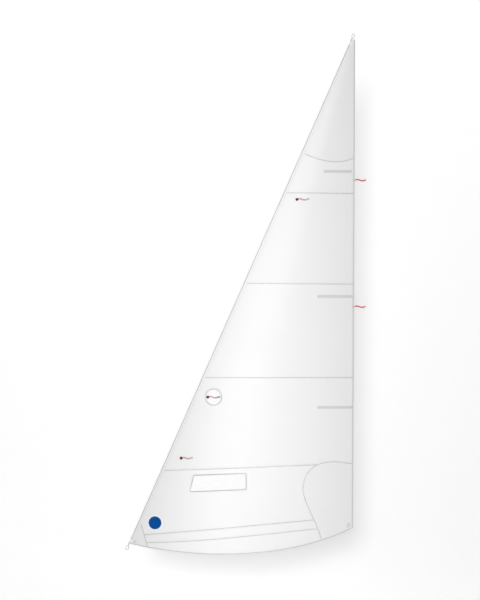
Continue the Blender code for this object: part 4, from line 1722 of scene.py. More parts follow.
@dataclass(frozen=True)
class CornerPatches:
    """Doublings on both sides of the cloth at head, tack and clew, with their sewn edges."""

    head_edge: Corners = ((1.2857, 2.9227), (1.4319, 2.8504), (1.5678, 2.8206), (1.6894, 2.8816))
    tack_edge: Corners = ((0.0800, 0.1839), (0.1045, 0.1455), (0.1314, 0.0161), (0.1517, -0.0284))
    clew_top: Corners = ((1.6819, 0.5920), (1.5547, 0.6322), (1.3119, 0.6446), (1.2992, 0.4186))
    clew_front: Corners = ((1.2992, 0.4186), (1.2907, 0.3205), (1.4200, 0.1400), (1.4374, 0.0172))
    row_in: float = 0.0038

    def above_foot(self, point: Point) -> bool:
        """Whether a point lies inside the foot tape's line."""
        return point[1] > height_of(LOFT.foot_inner, point[0]) + PLY

    def sewable(self, point: Point) -> bool:
        """Whether a point lies clear of the sleeve and both tapes."""
        inside_ends = LOFT.past_luff(point, SLEEVE_FLANGE) > 0 and LOFT.before_leech(point, TAPE_WIDTH) > 0
        return inside_ends and point[1] > height_of(LOFT.foot, point[0]) + TAPE_WIDTH

    def head(self) -> tuple[Run, Run]:
        """Outline and free edge of the head patch."""
        edge = LOFT.trimmed(LOFT.curve(self.head_edge))
        return edge + LOFT.trimmed(LOFT.head_top)[::-1], edge

    def tack(self) -> tuple[Run, Run]:
        """Outline and free edge of the tack patch.

        Returns:
            The outline, and the part of it that is sewn.
        """
        edge = [point for point in LOFT.trimmed(LOFT.curve(self.tack_edge)) if self.above_foot(point)]
        edge.append((edge[-1][0], height_of(LOFT.foot_inner, edge[-1][0])))
        foot = [point for point in LOFT.trimmed(LOFT.foot_inner) if point[0] < edge[-1][0]]
        return edge + foot[::-1], edge

    def clew(self) -> tuple[Run, Run]:
        """Outline and free edge of the clew patch.

        Returns:
            The outline, and the part of it that is sewn.
        """
        front = LOFT.curve(self.clew_top) + LOFT.curve(self.clew_front)[1:]
        edge = [
            point for point in front if LOFT.before_leech(point, EDGE_INSET) > 0 and self.above_foot(point)
        ]
        edge.insert(0, (PLAN.leech_x(edge[0][1]) - EDGE_INSET, edge[0][1]))
        edge.append((edge[-1][0], height_of(LOFT.foot_inner, edge[-1][0])))
        foot = [point for point in LOFT.trimmed(LOFT.foot_inner) if point[0] > edge[-1][0]]
        return edge + foot, edge

    def build(self) -> None:
        """Lay both plies of each patch and sew its free edge."""
        for corner, inward in (("head", 1), ("tack", -1), ("clew", 1)):
            outline, edge = getattr(self, corner)()
            holes = [] if corner == "head" else [EYELETS.hole(corner)]
            for face, level in ((Face.PORT, PATCH_PORT), (Face.STARBOARD, PATCH_STARBOARD)):
                cut(f"{corner}_patch_{face.name.lower()}", outline, level, Finish.PATCH, holes)
            run = [point for point in shifted(edge, inward * self.row_in) if self.sewable(point)]
            row = Row(run, StitchStyle.SEAM, PATCH_PORT, PATCH_STARBOARD + CLOTH)
            SEWING.sew(f"{corner}_patch", [row], Finish.THREAD)


@dataclass(frozen=True)
class Bindings:
    """The luff sleeve and the folded tapes of leech and foot."""

    setback: float = 0.075
    tube: float = 0.0036
    tube_opening: float = math.radians(42)
    tube_steps: int = 24
    lean_at: float = 0.006
    flange_from: float = 0.0075
    flange_steps: int = 5
    wall: float = 0.0005
    ring_step: float = 0.018
    row_in: float = 0.0032

    def sleeve_section(self, along: float) -> Array:
        """One section of the sleeve round the wire.

        Args:
            along: Distance from the tack eye along the wire.

        Returns:
            The closed section as points in world space.
        """
        def cloth(across: float, level: float) -> Point:
            """A point at a level of the cloth, across the wire and along Y."""
            x, z = PLAN.on_wire(across, along)
            return (across, float(LOFT.surface(x, z)) + level)

        lean = math.atan2(cloth(self.lean_at, 0.0)[1], self.lean_at)
        turn = np.linspace(-self.tube_opening, self.tube_opening - 2 * math.pi, self.tube_steps) + lean
        flats = np.linspace(SLEEVE_FLANGE, self.flange_from, self.flange_steps)

        def layer(inset: float) -> Run:
            """One face of the sleeve, from flange to flange.

            Args:
                inset: How far it lies inside the outer face.

            Returns:
                Its section.
            """
            port = [cloth(across, TAPE_PORT + inset) for across in flats]
            starboard = [cloth(across, TAPE_STARBOARD - inset) for across in flats[::-1]]
            return port + arc((0.0, 0.0), self.tube - inset, turn) + starboard

        section = np.array(layer(0.0) + layer(self.wall)[::-1])
        base, out = np.array(PLAN.along) * along, np.array(PLAN.across)
        return base + section[:, :1] * out + section[:, 1:] * np.array([0.0, 1.0, 0.0])

    def build_sleeve(self) -> None:
        """The sleeve that the wire runs through, sewn to the cloth near its edge."""
        start, end = self.setback, PLAN.head_eye - self.setback
        places = np.linspace(start, end, round((end - start) / self.ring_step))
        rings = np.array([self.sleeve_section(along) for along in places])
        hold = {"held": "folded", "rests_on": ["luff_wire"]}
        bind("luff_sleeve", rings, rings[0], end - start, Finish.SLEEVE, **hold)
        across = SLEEVE_FLANGE - self.row_in
        SEWING.sew("luff_sleeve", [Row([PLAN.on_wire(across, along) for along in places])])

    def fold(self, name: str, edge: Array, inward: Array, unsewn: int) -> None:
        """A tape folded round an edge of the sail and sewn.

        Args:
            name: The node that it stands for.
            edge: Points of the edge in world x and z.
            inward: Unit vectors from the edge into the sail.
            unsewn: How many points at each end stay without stitches.
        """
        section = fold_section(TAPE_WIDTH, TAPE_PORT, TAPE_STARBOARD, self.wall)
        spots = edge[:, None] + inward[:, None] * section[None, :, 0:1]
        rings = LOFT.on_cloth(spots[..., 0], spots[..., 1], section[None, :, 1])
        bind(name, rings, section, float(distances(edge)[-1]), Finish.TAPE, held="folded")
        run = as_run(edge + inward * (TAPE_WIDTH - self.row_in))
        SEWING.sew(name, [Row(run[unsewn : len(run) - unsewn])])

    def build(self) -> None:
        """All three bindings."""
        self.build_sleeve()
        low, high = PLAN.clew_point[1], PLAN.head_point[1]
        heights = np.linspace(low, high, round((high - low) / self.ring_step))
        leech = np.stack([PLAN.leech_x(heights), heights], axis=1)
        self.fold("leech_tape", leech, np.tile(np.array([-1.0, 0.0]), (len(leech), 1)), 0)
        foot = spaced(np.array(LOFT.trimmed(LOFT.foot, LUFF_INSET, TAPE_WIDTH + GAP)), self.ring_step)
        self.fold("foot_tape", foot, left_of(foot), 1)


@dataclass(frozen=True)
class WindowPanes:
    """Clear film over the two cut-outs, sewn round its edge."""

    row_in: float = 0.0018
    grid: float = 0.01

    def pane(self, name: str, ring: Run, runs: list[Run], ply: float) -> None:
        """One window: its film over the cloth of a level, sewn along some runs."""
        cut(name, ring, ply - STEP, Finish.FILM, kind="film", thickness=PLY, grid=self.grid)
        SEWING.sew(name, [Row(run, StitchStyle.WINDOW, ply - STEP, ply + CLOTH) for run in runs])

    def build(self) -> None:
        """Both windows."""
        sewn = WINDOWS.foot_ring(self.row_in)
        self.pane("foot_window", WINDOWS.foot_ring(), stretches([*sewn, sewn[0]]), BACK_PLY)
        sewn = WINDOWS.round_ring(self.row_in)
        self.pane("telltale_window", WINDOWS.round_ring(), [[*sewn, sewn[0]]], FRONT_PLY)


@dataclass(frozen=True)
class PocketPlace:
    """One pocket: its height, its forward end, how far it stops short of the leech, and its cloth."""

    name: str
    height: float
    forward: float
    short: float
    ply: float

    @cached_property
    def span(self) -> tuple[float, float, float]:
        """World x of both its ends, and world z of its middle."""
        low, z = PLAN.placed((self.forward, self.height))
        return low, float(PLAN.leech_x(z)) - self.short, z


@dataclass(frozen=True)
class BattenPockets:
    """Three pockets on the port face, closed ahead and open at the leech, with their battens."""

    height: float = 0.018
    cover: float = 0.0005
    batten_level: float = -0.0033
    batten_half: float = 0.0065
    batten_room: float = 0.0006
    close_length: float = 0.012
    row_in: float = 0.0018
    steps_across: int = 25
    steps_closing: int = 9
    steps_along: int = 16
    places: tuple[PocketPlace, ...] = (
        PocketPlace("upper", 2.7800, 1.4576, 0.0230, BACK_PLY),
        PocketPlace("middle", 1.8471, 1.4090, 0.0093, BACK_PLY),
        PocketPlace("lower", 1.0181, 1.4090, 0.0093, FRONT_PLY),
    )

    def section(self, rise: float) -> Array:
        """Section of the cover as height from the pocket's middle and level, closed.

        Args:
            rise: Distance of the crown from the cloth.

        Returns:
            The outer face downwards, then the inner one back up.
        """
        half, shoulder = self.height / 2, self.batten_half + self.batten_room
        steps = np.linspace(half, -half, self.steps_across)
        crown = rise * eased((half - np.abs(steps)) / (half - shoulder))
        outer = np.stack([steps, -self.cover - crown], axis=1)
        inner = np.stack([steps[::-1], -crown[::-1]], axis=1)
        return np.concatenate([outer, inner])

    def lay_cover(self, place: PocketPlace) -> None:
        """The cover of one pocket, shut down on the cloth ahead of the batten.

        Args:
            place: The pocket.
        """
        low, high, z = place.span
        closed = low + self.close_length
        closing = np.linspace(low, closed, self.steps_closing)[:-1]
        along = np.concatenate([closing, np.linspace(closed, high, self.steps_along)])
        full = place.ply - self.batten_level
        rings = []
        for x, rise in zip(along, full * eased((along - low) / self.close_length)):
            heights, level = self.section(rise).T
            level = place.ply - GAP / 2 + level
            rings.append(LOFT.on_cloth(np.full_like(heights, x), z + heights, level))
        name = place.name + "_batten_pocket"
        bind(name, np.array(rings), self.section(full), high - low, Finish.POCKET, held="stretched")

    def build(self) -> None:
        """All pockets, sewn along both edges and round the forward end; the battens keep their nodes."""
        half = self.height / 2 - self.row_in / 2
        for place in self.places:
            self.lay_cover(place)
            low, high, z = place.span
            start = low + self.row_in
            run = [(high, z + half), (start, z + half), (start, z - half), (high, z - half)]
            levels = {"port": place.ply - GAP / 2 - self.cover, "starboard": place.ply + CLOTH}
            SEWING.sew(place.name + "_batten_pocket", [Row(part, **levels) for part in stretches(run)])
            coat(frame["nodes"][place.name + "_batten"], Finish.BATTEN)


@dataclass(frozen=True)
class Ribbon:
    """A narrow strip that streams along local x with a wave to its sides."""

    start: float
    length: float
    flat: float = 0.0
    lift: float = 0.0
    width: float = 0.010
    thickness: float = 0.0003
    wave_length: float = 0.078
    wave_height: float = 0.0045
    flutter: float = 0.0016
    flutter_pace: float = 1.3
    steps: tuple[int, int] = (72, 5)

    def bent(self, along: float, across: float, up: int) -> Vector:
        """Where the wave and the flutter take a point of the ribbon.

        Args:
            along: Its place along the ribbon, as a share of the length.
            across: Its place from the middle, as a share of the width.
            up: Sign of local y along world z, so that every wave starts upwards.

        Returns:
            Its place in the ribbon's own frame.
        """
        x = self.start + along * (self.length - self.start)
        turn = 2 * math.pi * max(x, 0.0) / self.wave_length
        free = max(x - self.flat, 0.0)
        flutter = (1 - math.cos(self.flutter_pace * turn)) / 2 + across * math.sin(turn) / 2
        rise = free * math.tan(self.lift) + self.flutter * free / self.length * flutter
        return Vector((x, across * self.width + up * self.wave_height * math.sin(turn), rise))

    def hang(self, name: str, axes: Matrix, up: int, finish: Finish) -> None:
        """The ribbon as a thin closed strip that swings on its own body.

        Args:
            name: The node that it stands for.
            axes: Its frame in world space.
            up: Sign of local y along world z.
            finish: Its finish.
        """
        columns, rows = self.steps
        grid = bpy.ops.mesh.primitive_grid_add
        thing = primitive(name + "_nylon", grid, x_subdivisions=columns, y_subdivisions=rows, size=1.0)
        thing.data.uv_layers.active.name = CLOTH_MAP
        with reshaped(thing) as shape:
            flat = shape.loops.layers.uv.active
            for face in shape.faces:
                for loop in face.loops:
                    spot = loop.vert.co
                    loop[flat].uv = ((spot.x + 0.5) * self.length, spot.y * self.width)
            for vertex in shape.verts:
                vertex.co = axes @ self.bent(vertex.co.x + 0.5, vertex.co.y, up)
        wall = thing.modifiers.new("thickness", "SOLIDIFY")
        wall.thickness = self.thickness
        wall.offset = 0.0
        dress(smoothed(applied(thing)), finish, [name], name)


@dataclass(frozen=True)
class Telltales:
    """On each side of the cloth at three places, a dot that holds the root of a ribbon tail."""

    places: tuple[tuple[str, Point, float], ...] = (
        ("upper", (1.2580, 2.5714), 0.0),
        ("middle", (0.5920, 1.0951), -STEP),
        ("lower", (0.3932, 0.6399), 0.0),
    )
    radius: float = 0.011
    steps: int = 48
    grid: float = 0.0022
    room: float = 0.0014
    rim_drop: float = 0.0001
    rim_power: int = 6
    port_tail: Ribbon = Ribbon(-0.005, 0.095, 0.012, math.radians(4.0))
    starboard_tail: Ribbon = Ribbon(-0.005, 0.095, 0.012, math.radians(8.5))

    def fix(self, place: str, centre: Point, back: float, face: Face) -> None:
        """One dot, with its rim pressed a little towards the cloth, and its tail.

        Args:
            place: Which of the three places it is.
            centre: World x and z of the dot.
            back: Level of the port face of what it sticks to.
            face: The side of the sail.
        """
        port = face is Face.PORT
        surface = back if port else back + PLY
        level = surface - self.room - PLY if port else surface + self.room

        def crowned(x: Array, z: Array) -> Array:
            """Level of the dot's port face."""
            away = np.hypot(x - centre[0], z - centre[1]) / self.radius
            return level - face.value * self.rim_drop * np.clip(away, 0.0, 1.0) ** self.rim_power

        ring, side = circle(centre, self.radius, self.steps), face.name.lower()
        dot, tail = (Finish.DOT_RED, Finish.TAIL_RED) if port else (Finish.DOT_GREEN, Finish.TAIL_GREEN)
        name = f"{place}_telltale_dot_{side}"
        cut(name, ring, crowned, dot, kind="sticker", thickness=PLY, grid=self.grid)
        axes = LOFT.frame_at(centre, surface + face.value * self.room / 2, face)
        ribbon = self.port_tail if port else self.starboard_tail
        ribbon.hang(f"{place}_telltale_tail_{side}", axes, -face.value, tail)

    def build(self) -> None:
        """Every dot and tail."""
        for place, point, back in self.places:
            for face in Face:
                self.fix(place, PLAN.placed(point), back, face)


@dataclass(frozen=True)
class LeechRibbons:
    """Ribbons that stream from tabs on the leech."""

    places: tuple[tuple[str, float], ...] = (("upper", 2.7157), ("lower", 1.7701))
    tab: float = 0.016
    grid: float = 0.004
    reach: float = 0.002
    row_in: float = 0.0022
    ribbon: Ribbon = Ribbon(GAP, 0.086, width=0.0105)

    def build(self) -> None:
        """Both tabs and ribbons."""
        level = TAPE_PORT - STEP
        for place, height in self.places:
            z = PLAN.placed((0.0, height))[1]
            edge = float(PLAN.leech_x(z))
            half, start = self.tab / 2, edge - self.tab + self.reach
            outline = rectangle((start, z - half), (edge + self.reach, z + half))
            name = f"{place}_leech_ribbon"
            cut(name + "_tab", outline, level, Finish.TAPE, thickness=PLY, grid=self.grid)
            half -= self.row_in
            run = rectangle((start + self.row_in, z - half), (edge - self.row_in, z + half))
            SEWING.sew(name + "_tab", [Row(part, port=level) for part in stretches([*run, run[0]])])
            axes = LOFT.frame_at((edge + self.reach + GAP, z), level + PLY / 2, Face.PORT)
            self.ribbon.hang(name, axes, 1, Finish.RIBBON_RED)


@dataclass(frozen=True)
class Emblem:
    """A plain blue disc on a white backing near the tack, cut from sticky cloth."""

    centre: Point = (0.1981, 0.1570)
    backing: float = 0.059
    disc: float = 0.048
    steps: int = 96
    grid: float = 0.006

    def build(self) -> None:
        """The backing and the disc."""
        centre, level = PLAN.placed(self.centre), BACK_PLY - STEP
        for name, radius, ply, finish in (
            ("emblem_backing", self.backing, level, Finish.EMBLEM_WHITE),
            ("emblem_disc", self.disc, level - STEP, Finish.EMBLEM_BLUE),
        ):
            ring = circle(centre, radius, self.steps)
            cut(name, ring, ply, finish, kind="sticker", thickness=PLY, grid=self.grid)


def turned(name: str, section: Sequence[Point], axes: Matrix, bevel: float) -> Piece:
    """A closed section spun about its frame's z axis, with its edges rounded.

    Args:
        name: The object's name.
        section: Points as radius and height.
        axes: The frame in world space.
        bevel: Width of the rounding.

    Returns:
        The turned piece.
    """
    mesh = bpy.data.meshes.new(name)
    count = len(section)
    points = [(radius, 0.0, height) for radius, height in section]
    mesh.from_pydata(points, [(index, (index + 1) % count) for index in range(count)], [])
    thing = linked(name, mesh)
    centre, axis = (0.0, 0.0, 0.0), (0.0, 0.0, 1.0)
    with edited(thing):
        bpy.ops.mesh.spin(steps=TURN_STEPS, angle=2 * math.pi, center=centre, axis=axis)
        face_outwards()
    rounded(thing, bevel, 3, CAST_SHARP)
    return smoothed(carried(thing, axes), PRESSED_SHARP)


@dataclass(frozen=True)
class PressedEyelets:
    """The clew and tack eyelets with their washers. Heights of their edges are shares of the wall."""

    bevel: float = 0.0003
    lip_reach: float = 0.0016
    mouth: float = 0.6
    lip_edge: float = 0.8
    rim: float = 0.4
    crown: float = 1.15
    washer_edge: float = 0.9

    def build(self) -> None:
        """Both eyelets: flange to port, barrel through the plies, washer and lip to starboard."""
        wall = EYELETS.wall
        port, starboard = PATCH_PORT - GAP / 2, PATCH_STARBOARD + CLOTH + GAP / 2
        lip = starboard + wall
        for corner, (place, bore, flange) in EYELETS.sizes.items():
            barrel = bore + wall
            middle = (flange + barrel) / 2
            press = [
                (bore, port - wall * self.mouth),
                (bore, lip + wall),
                (barrel + self.lip_reach, lip + wall * self.lip_edge),
                (barrel + self.lip_reach, lip),
                (barrel, lip),
                (barrel, port),
                (flange, port),
                (flange, port - wall * self.rim),
                (middle, port - wall * self.crown),
                (barrel, port - wall),
            ]
            washer = [
                (barrel + GAP / 2, starboard),
                (barrel + GAP / 2, starboard + wall * self.washer_edge),
                (middle, starboard + wall),
                (flange, starboard + wall * self.rim),
                (flange, starboard),
            ]
            axes = LOFT.frame_at(place, 0.0, Face.STARBOARD)
            for name, section, bevel in (
                (corner + "_eyelet", press, self.bevel),
                (corner + "_eyelet_washer", washer, self.bevel / 2),
            ):
                dress(turned(name + "_press", section, axes, bevel), Finish.FITTING, [name])


@dataclass(frozen=True)
class LuffWire:
    """The luff wire, laid up from strands where it shows, with a thimble and a ferrule at each end."""

    radius: float = 0.002
    eye: float = 0.0116
    eye_steps: int = 60
    leg_offset: float = 0.00225
    throat: float = 0.031
    ease: float = 0.018
    ease_steps: int = 16
    lay: float = 0.024
    strands: int = 6
    step: float = 0.0015
    shown: float = 0.082
    core: float = 2.8
    depth: float = 0.00355
    half_width: float = 0.0036
    groove: float = 0.0023
    groove_steps: int = 17
    corner_steps: int = 6
    thimble_steps: int = 72
    ferrule: float = 0.018
    ferrule_sides: int = 40
    ferrule_edge: float = 0.0002
    taper: float = 0.86
    taper_length: float = 0.0006
    presses: int = 3
    waist: float = 0.93
    press_shares: tuple[float, float, float] = (0.18, 0.14, 0.36)

    def teardrop(self, steps: int) -> tuple[Run, Run, Run]:
        """The wire's line round its eye, as distances across and along the wire's axis.

        Args:
            steps: Stretches in the round part.

        Returns:
            The line from the throat on the aft side to the eye, round it, and back to the throat.
        """
        corner = Vector((self.leg_offset, self.throat))
        lean = math.atan2(corner.y, corner.x) - math.acos(self.eye / corner.length)
        touch = Vector((math.cos(lean), math.sin(lean))) * self.eye
        rising = Vector((-math.sin(lean), math.cos(lean)))
        handle = (corner - touch).length / 3
        leg = bezier((corner, corner - Vector((0, handle)), touch + rising * handle, touch), steps // 3)
        turns = (lean - (math.pi + 2 * lean) * index / steps for index in range(1, steps))
        return leg, arc((0.0, 0.0), self.eye, turns), [(-across, height) for across, height in leg[::-1]]

    def end_line(self) -> Array:
        """The wire's line from its short end round the eye and up to where the sleeve hides it.

        Returns:
            Its points, across and along the wire's axis.
        """
        leg, loop, other_leg = self.teardrop(self.eye_steps)
        top = self.throat + self.ferrule + 2 * self.radius
        ease = []
        for part in np.linspace(0.0, 1.0, self.ease_steps):
            swing = 0.5 + 0.5 * math.cos(math.pi * part)
            ease.append((self.leg_offset * swing, top + self.ease * part))
        line = [(-self.leg_offset, top), *other_leg[::-1], *loop[::-1], *leg[::-1], *ease]
        return spaced(np.array([*line, (0.0, top + self.ease + self.shown)]), self.step)

    def strand(self, line: Array, turn: float, radius: float, eye: float, up: int) -> Array:
        """A strand's own line round the wire's line.

        Args:
            line: The wire's line.
            turn: Where round the wire the strand starts.
            radius: Its distance from the wire's line.
            eye: Distance of the line's eye from the tack eye along the wire.
            up: Which way the line runs along the wire.

        Returns:
            Its points in world space.
        """
        angle = (turn + 2 * math.pi * distances(line) / self.lay)[:, None]
        plane = line + left_of(line) * radius * np.cos(angle)
        out, rise = np.array(PLAN.across), np.array(PLAN.along)
        world = plane[:, :1] * out + (eye + up * plane[:, 1:]) * rise
        return world + np.array([0.0, radius, 0.0]) * np.sin(angle)

    def build_rope(self) -> None:
        """The wire: strands round a core at both ends, and one plain core through the sleeve."""
        line = self.end_line()
        lines = []
        for eye, up in ((0.0, 1), (PLAN.head_eye, -1)):
            lines.append((self.strand(line, 0.0, 0.0, eye, up), 1.0))
            for index in range(self.strands):
                turn = 2 * math.pi * index / self.strands
                lines.append((self.strand(line, turn, self.radius * 2 / 3, eye, up), 1.0))
        ends = np.array([self.shown, PLAN.head_eye - self.shown])
        lines.append((ends[:, None] * np.array(PLAN.along), self.core))
        form = {"dimensions": "3D", "bevel_depth": self.radius / 3, "bevel_resolution": 1}
        rope = drawn("luff_wire_rope", lines, use_fill_caps=True, **form)
        dress(cast(rope), Finish.WIRE, ["luff_wire"], "wire")

    def profile(self) -> Piece:
        """Section of a thimble: rounded cheeks and a groove that faces away from the eye.

        Returns:
            The section as a closed curve.
        """
        line = arc((0.0, 0.0), self.groove, np.linspace(math.pi / 2, 3 * math.pi / 2, self.groove_steps))
        line.append((0.0, -self.half_width))
        corner = self.half_width / 4
        for side, start in ((-1, 1.5), (1, 1.0)):
            centre = (corner - self.depth, side * (self.half_width - corner))
            line += arc(centre, corner, np.linspace(start, start - 0.5, self.corner_steps) * math.pi)
        line.append((0.0, self.half_width))
        flat = [(x, y, 0.0) for x, y in line]
        return drawn("thimble_section", [(flat, 1.0)], closed=True, dimensions="2D", fill_mode="NONE")

    def build_thimble(self, name: str, profile: Piece, eye: Vector, up: int) -> None:
        """A pear-shaped thimble that lines a wire eye.

        Args:
            name: The node that it stands for.
            profile: Its section.
            eye: Centre of the eye.
            up: Which way its throat points along the wire.
        """
        leg, loop, other_leg = self.teardrop(self.thimble_steps)
        line = [point for point in leg + other_leg if abs(point[0]) > self.depth + GAP]
        half = len(line) // 2
        # Run backwards, so that the body of the section lies inside the eye
        path = [(across, along, 0.0) for across, along in (line[:half] + loop + line[half:])[::-1]]
        form = {"dimensions": "2D", "fill_mode": "NONE", "bevel_mode": "OBJECT", "bevel_object": profile}
        thing = cast(drawn(name + "_cast", [(path, 1.0)], use_fill_caps=True, **form))
        side = Vector((0.0, 1.0, 0.0))
        carried(thing, axes_at(eye, PLAN.across, PLAN.along * up, side))
        dress(thing, Finish.FITTING, [name], "wire")

    def ferrule_stages(self) -> list[tuple[float, float]]:
        """Rise and scale of each extrusion of a ferrule: a taper, the pressings and a taper.

        Returns:
            The stages, from the bottom up.
        """
        press = (self.ferrule - 2 * self.taper_length) / self.presses
        flat, slope, bottom = (press * share for share in self.press_shares)
        pressed = [(flat, 1.0), (slope, self.waist), (bottom, 1.0), (slope, 1 / self.waist), (flat, 1.0)]
        ends = ((self.taper_length, 1 / self.taper), (self.taper_length, self.taper))
        return [ends[0], *pressed * self.presses, ends[1]]

    def build_ferrule(self, name: str, centre: Vector) -> None:
        """An oval ferrule, built up by extruding, with a crimped waist at each pressing.

        Args:
            name: The node that it stands for.
            centre: Its middle.
        """
        form = {"radius": 2 * self.radius * self.taper, "fill_type": "NGON"}
        ring = bpy.ops.mesh.primitive_circle_add
        thing = primitive(name + "_pressed", ring, vertices=self.ferrule_sides, **form)
        for vertex in thing.data.vertices:
            if abs(vertex.co.x) > MERGE:
                vertex.co.x += math.copysign(self.leg_offset, vertex.co.x)
        height = 0.0
        with edited(thing):
            for rise, scale in self.ferrule_stages():
                height += rise
                bpy.ops.mesh.extrude_region_move(TRANSFORM_OT_translate={"value": (0.0, 0.0, rise)})
                bpy.ops.transform.resize(value=(scale, scale, 1.0), center_override=(0.0, 0.0, height))
            face_outwards()
        rounded(thing, self.ferrule_edge, 2, math.radians(30))
        rise = PLAN.along
        foot = centre - rise * (height / 2)
        carried(thing, axes_at(foot, PLAN.across, Vector((0.0, 1.0, 0.0)), rise))
        dress(smoothed(thing), Finish.ALLOY, [name], "wire")

    def build(self) -> None:
        """The wire and what is on its ends."""
        self.build_rope()
        profile = self.profile()
        top = PLAN.along * PLAN.head_eye
        self.build_thimble("tack_thimble", profile, Vector((0.0, 0.0, 0.0)), 1)
        self.build_thimble("head_thimble", profile, top, -1)
        bpy.data.objects.remove(profile)
        middle = PLAN.along * (self.throat + GAP + self.ferrule / 2)
        self.build_ferrule("tack_ferrule", middle)
        self.build_ferrule("head_ferrule", top - middle)


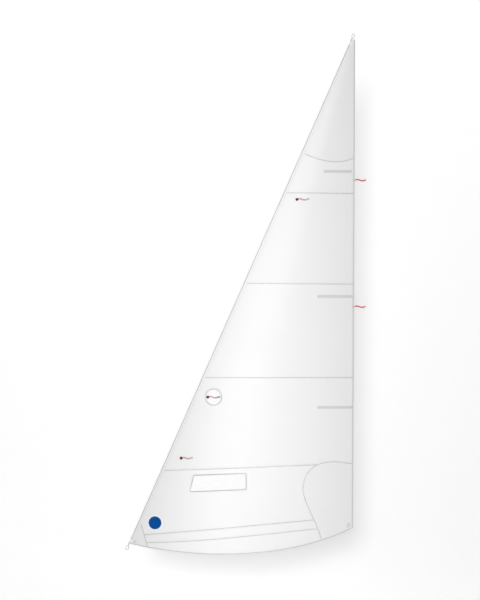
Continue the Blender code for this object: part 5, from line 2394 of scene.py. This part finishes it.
@dataclass(frozen=True)
class Studio:
    """A white backdrop and floor, soft lamps, and the photograph's camera."""

    view_centre: Point = (0.8448, 1.8564)
    view_height: float = 4.485
    lens: float = 300.0
    sensor: float = 36.0
    floor_z: float = -0.56
    floor_size: float = 30.0
    backdrop_y: float = 2.0
    backdrop_width: float = 5.2
    backdrop_height: float = 5.6
    paper: Colour = (0.90, 0.90, 0.90)
    lift: Point = (0.366, 0.590)
    ambient: float = 0.20
    tilt_left: float = math.radians(3.5)
    tilt_up: float = math.radians(5.6)
    sun_strength: float = 0.785
    sun_angle: float = math.radians(7)
    strip_power: float = 34.2
    strip_size: Point = (0.35, 7.0)
    strip_x: float = 0.90
    strip_distance: float = 1.5
    side_power: float = 29.0
    side_size: Point = (2.5, 6.0)
    side_place: tuple[float, float, float] = (-3.0, -3.0, 2.6)
    back_power: float = 130.0
    back_size: Point = (4.0, 4.0)
    back_shift: float = 1.2
    back_distance: float = 3.6

    def build(self) -> None:
        """Everything around the sail."""
        self.build_camera()
        self.build_world()
        self.build_lamps(self.build_stage())
        bpy.context.scene.view_settings.view_transform = "Standard"

    def build_camera(self) -> None:
        """A camera square to the sail, as far off as its view needs."""
        camera = bpy.data.cameras.new("camera")
        camera.lens = self.lens
        camera.sensor_width = self.sensor
        thing = linked("camera", camera)
        distance = self.view_height * self.lens / self.sensor
        thing.location = (self.view_centre[0], -distance, self.view_centre[1])
        thing.rotation_euler = (math.pi / 2, 0.0, 0.0)
        bpy.context.scene.camera = thing

    @staticmethod
    def mirrored(make: NodeMaker, rays: Sockets) -> Socket:
        """One for rays that show the background in a gloss or through film, and light no cloth."""
        found = make.math("MAXIMUM", rays["Is Glossy Ray"], rays["Is Transmission Ray"])
        return make.math("MULTIPLY", found, make.math("LESS_THAN", rays["Diffuse Depth"], 0.5))

    def build_world(self) -> None:
        """Even light from all round, and white where it is seen."""
        world = bpy.data.worlds.new("studio")
        world.use_nodes = True
        make = NodeMaker(world.node_tree)
        background = world.node_tree.nodes["Background"]
        background.inputs["Color"].default_value = (1.0, 1.0, 1.0, 1.0)
        rays = make.add("ShaderNodeLightPath")
        seen = make.math("MAXIMUM", rays["Is Camera Ray"], self.mirrored(make, rays))
        rest = make.math("MULTIPLY", make.math("SUBTRACT", 1.0, seen), self.ambient)
        make.fill(background.inputs["Strength"], make.math("ADD", seen, rest))
        bpy.context.scene.world = world

    def stage_material(self) -> Material:
        """White paper that keeps a shadow, shows white in gloss and film, and is clear from behind.

        Returns:
            The material.
        """
        material, make, shader = principled("white_paper", 1.0)
        material.node_tree.nodes.remove(shader)
        rays = make.add("ShaderNodeLightPath")
        paper = make.add("ShaderNodeBsdfDiffuse", {"Color": (*self.paper, 1.0)})[0]
        height = make.add("ShaderNodeSeparateXYZ", {0: make.place()})[2]
        ends = (self.floor_z, self.floor_z + self.backdrop_height, *self.lift)
        glow = make.add("ShaderNodeEmission", {"Strength": make.spread(height, ends)})[0]
        lifted = make.add("ShaderNodeAddShader", {0: paper, 1: glow})[0]
        white = make.add("ShaderNodeEmission", {"Strength": 1.0})[0]
        behind = make.add("ShaderNodeNewGeometry")["Backfacing"]
        clear = make.add("ShaderNodeBsdfTransparent")[0]
        last = make.mix(rays["Is Camera Ray"], paper, lifted)
        last = make.mix(self.mirrored(make, rays), last, white)
        make.show(make.mix(make.math("MAXIMUM", behind, rays["Is Shadow Ray"]), last, clear))
        return material

    def build_stage(self) -> bpy.types.Collection:
        """The floor and the upright backdrop, in a collection of their own.

        Returns:
            The collection.
        """
        material = self.stage_material()
        stage = bpy.data.collections.new("stage")
        bpy.context.scene.collection.children.link(stage)
        plane = bpy.ops.mesh.primitive_plane_add
        below = (self.view_centre[0], 0.0, self.floor_z)
        floor = primitive("floor", plane, size=self.floor_size, location=below)
        backdrop = primitive("backdrop", plane, size=1.0)
        centre = (self.view_centre[0], self.backdrop_y, self.floor_z + self.backdrop_height / 2)
        size = Matrix.Diagonal((self.backdrop_width, self.backdrop_height, 1.0, 1.0))
        backdrop.data.transform(Matrix.Translation(centre) @ Matrix.Rotation(math.pi / 2, 4, "X") @ size)
        for thing in (floor, backdrop):
            thing.data.materials.append(material)
            for owner in list(thing.users_collection):
                owner.objects.unlink(thing)
            stage.objects.link(thing)
        return stage

    def build_lamps(self, stage: bpy.types.Collection) -> None:
        """A far lamp from upper left, a strip near the sail, and soft ones beside and behind it.

        No lamp shows in a gloss or through film, so that the windows stay clear.

        Args:
            stage: The floor and the backdrop, which the strip doesn't light.
        """
        x, z = self.view_centre
        sun = bpy.data.lights.new("far_lamp", "SUN")
        sun.energy = self.sun_strength
        sun.angle = self.sun_angle
        far = linked("far_lamp", sun)
        self.aim(far, Vector((math.tan(self.tilt_left), 1.0, -math.tan(self.tilt_up))))
        strip = self.area_lamp("strip_lamp", self.strip_power, self.strip_size)
        strip.location = (self.strip_x, -self.strip_distance, z)
        strip.rotation_euler = (math.pi / 2, 0.0, 0.0)
        unlit = bpy.data.collections.new("unlit_by_strip")
        for thing in stage.objects:
            unlit.objects.link(thing)
        strip.light_linking.receiver_collection = unlit
        for item in unlit.collection_objects:
            item.light_linking.link_state = "EXCLUDE"
        side = self.area_lamp("side_lamp", self.side_power, self.side_size)
        side.location = self.side_place
        back = self.area_lamp("back_lamp", self.back_power, self.back_size)
        back.location = (x - self.back_shift, self.back_distance, z + self.back_shift)
        for thing in (side, back):
            self.aim(thing, Vector((x, 0.0, z)) - thing.location)
        for thing in (far, strip, side, back):
            thing.visible_glossy = thing.visible_transmission = False

    @staticmethod
    def aim(lamp: Piece, towards: Vector) -> None:
        """Turn a lamp so that it shines along a vector."""
        lamp.rotation_euler = towards.to_track_quat("-Z", "Y").to_euler()

    @staticmethod
    def area_lamp(name: str, power: float, size: Point) -> Piece:
        """A soft rectangular lamp that the camera doesn't see, with its power in watts and its size.

        Args:
            name: Its name.
            power: Its power in watts.
            size: Its width and height.

        Returns:
            The lamp.
        """
        lamp = bpy.data.lights.new(name, "AREA")
        lamp.shape = "RECTANGLE"
        lamp.size, lamp.size_y = size
        lamp.energy = power
        thing = linked(name, lamp)
        thing.visible_camera = False
        return thing


def main() -> None:
    """Build the studio, then every piece of the sail in order."""
    logging.basicConfig(level=logging.INFO, format="%(name)s: %(message)s")
    parts = (Studio, Panels, CornerPatches, Bindings, WindowPanes, BattenPockets, Telltales)
    for part in (*parts, LeechRibbons, Emblem, PressedEyelets, LuffWire):
        LOG.info("building %s", part.__name__)
        part().build()
    deselect()


if __name__ == "__main__":
    main()
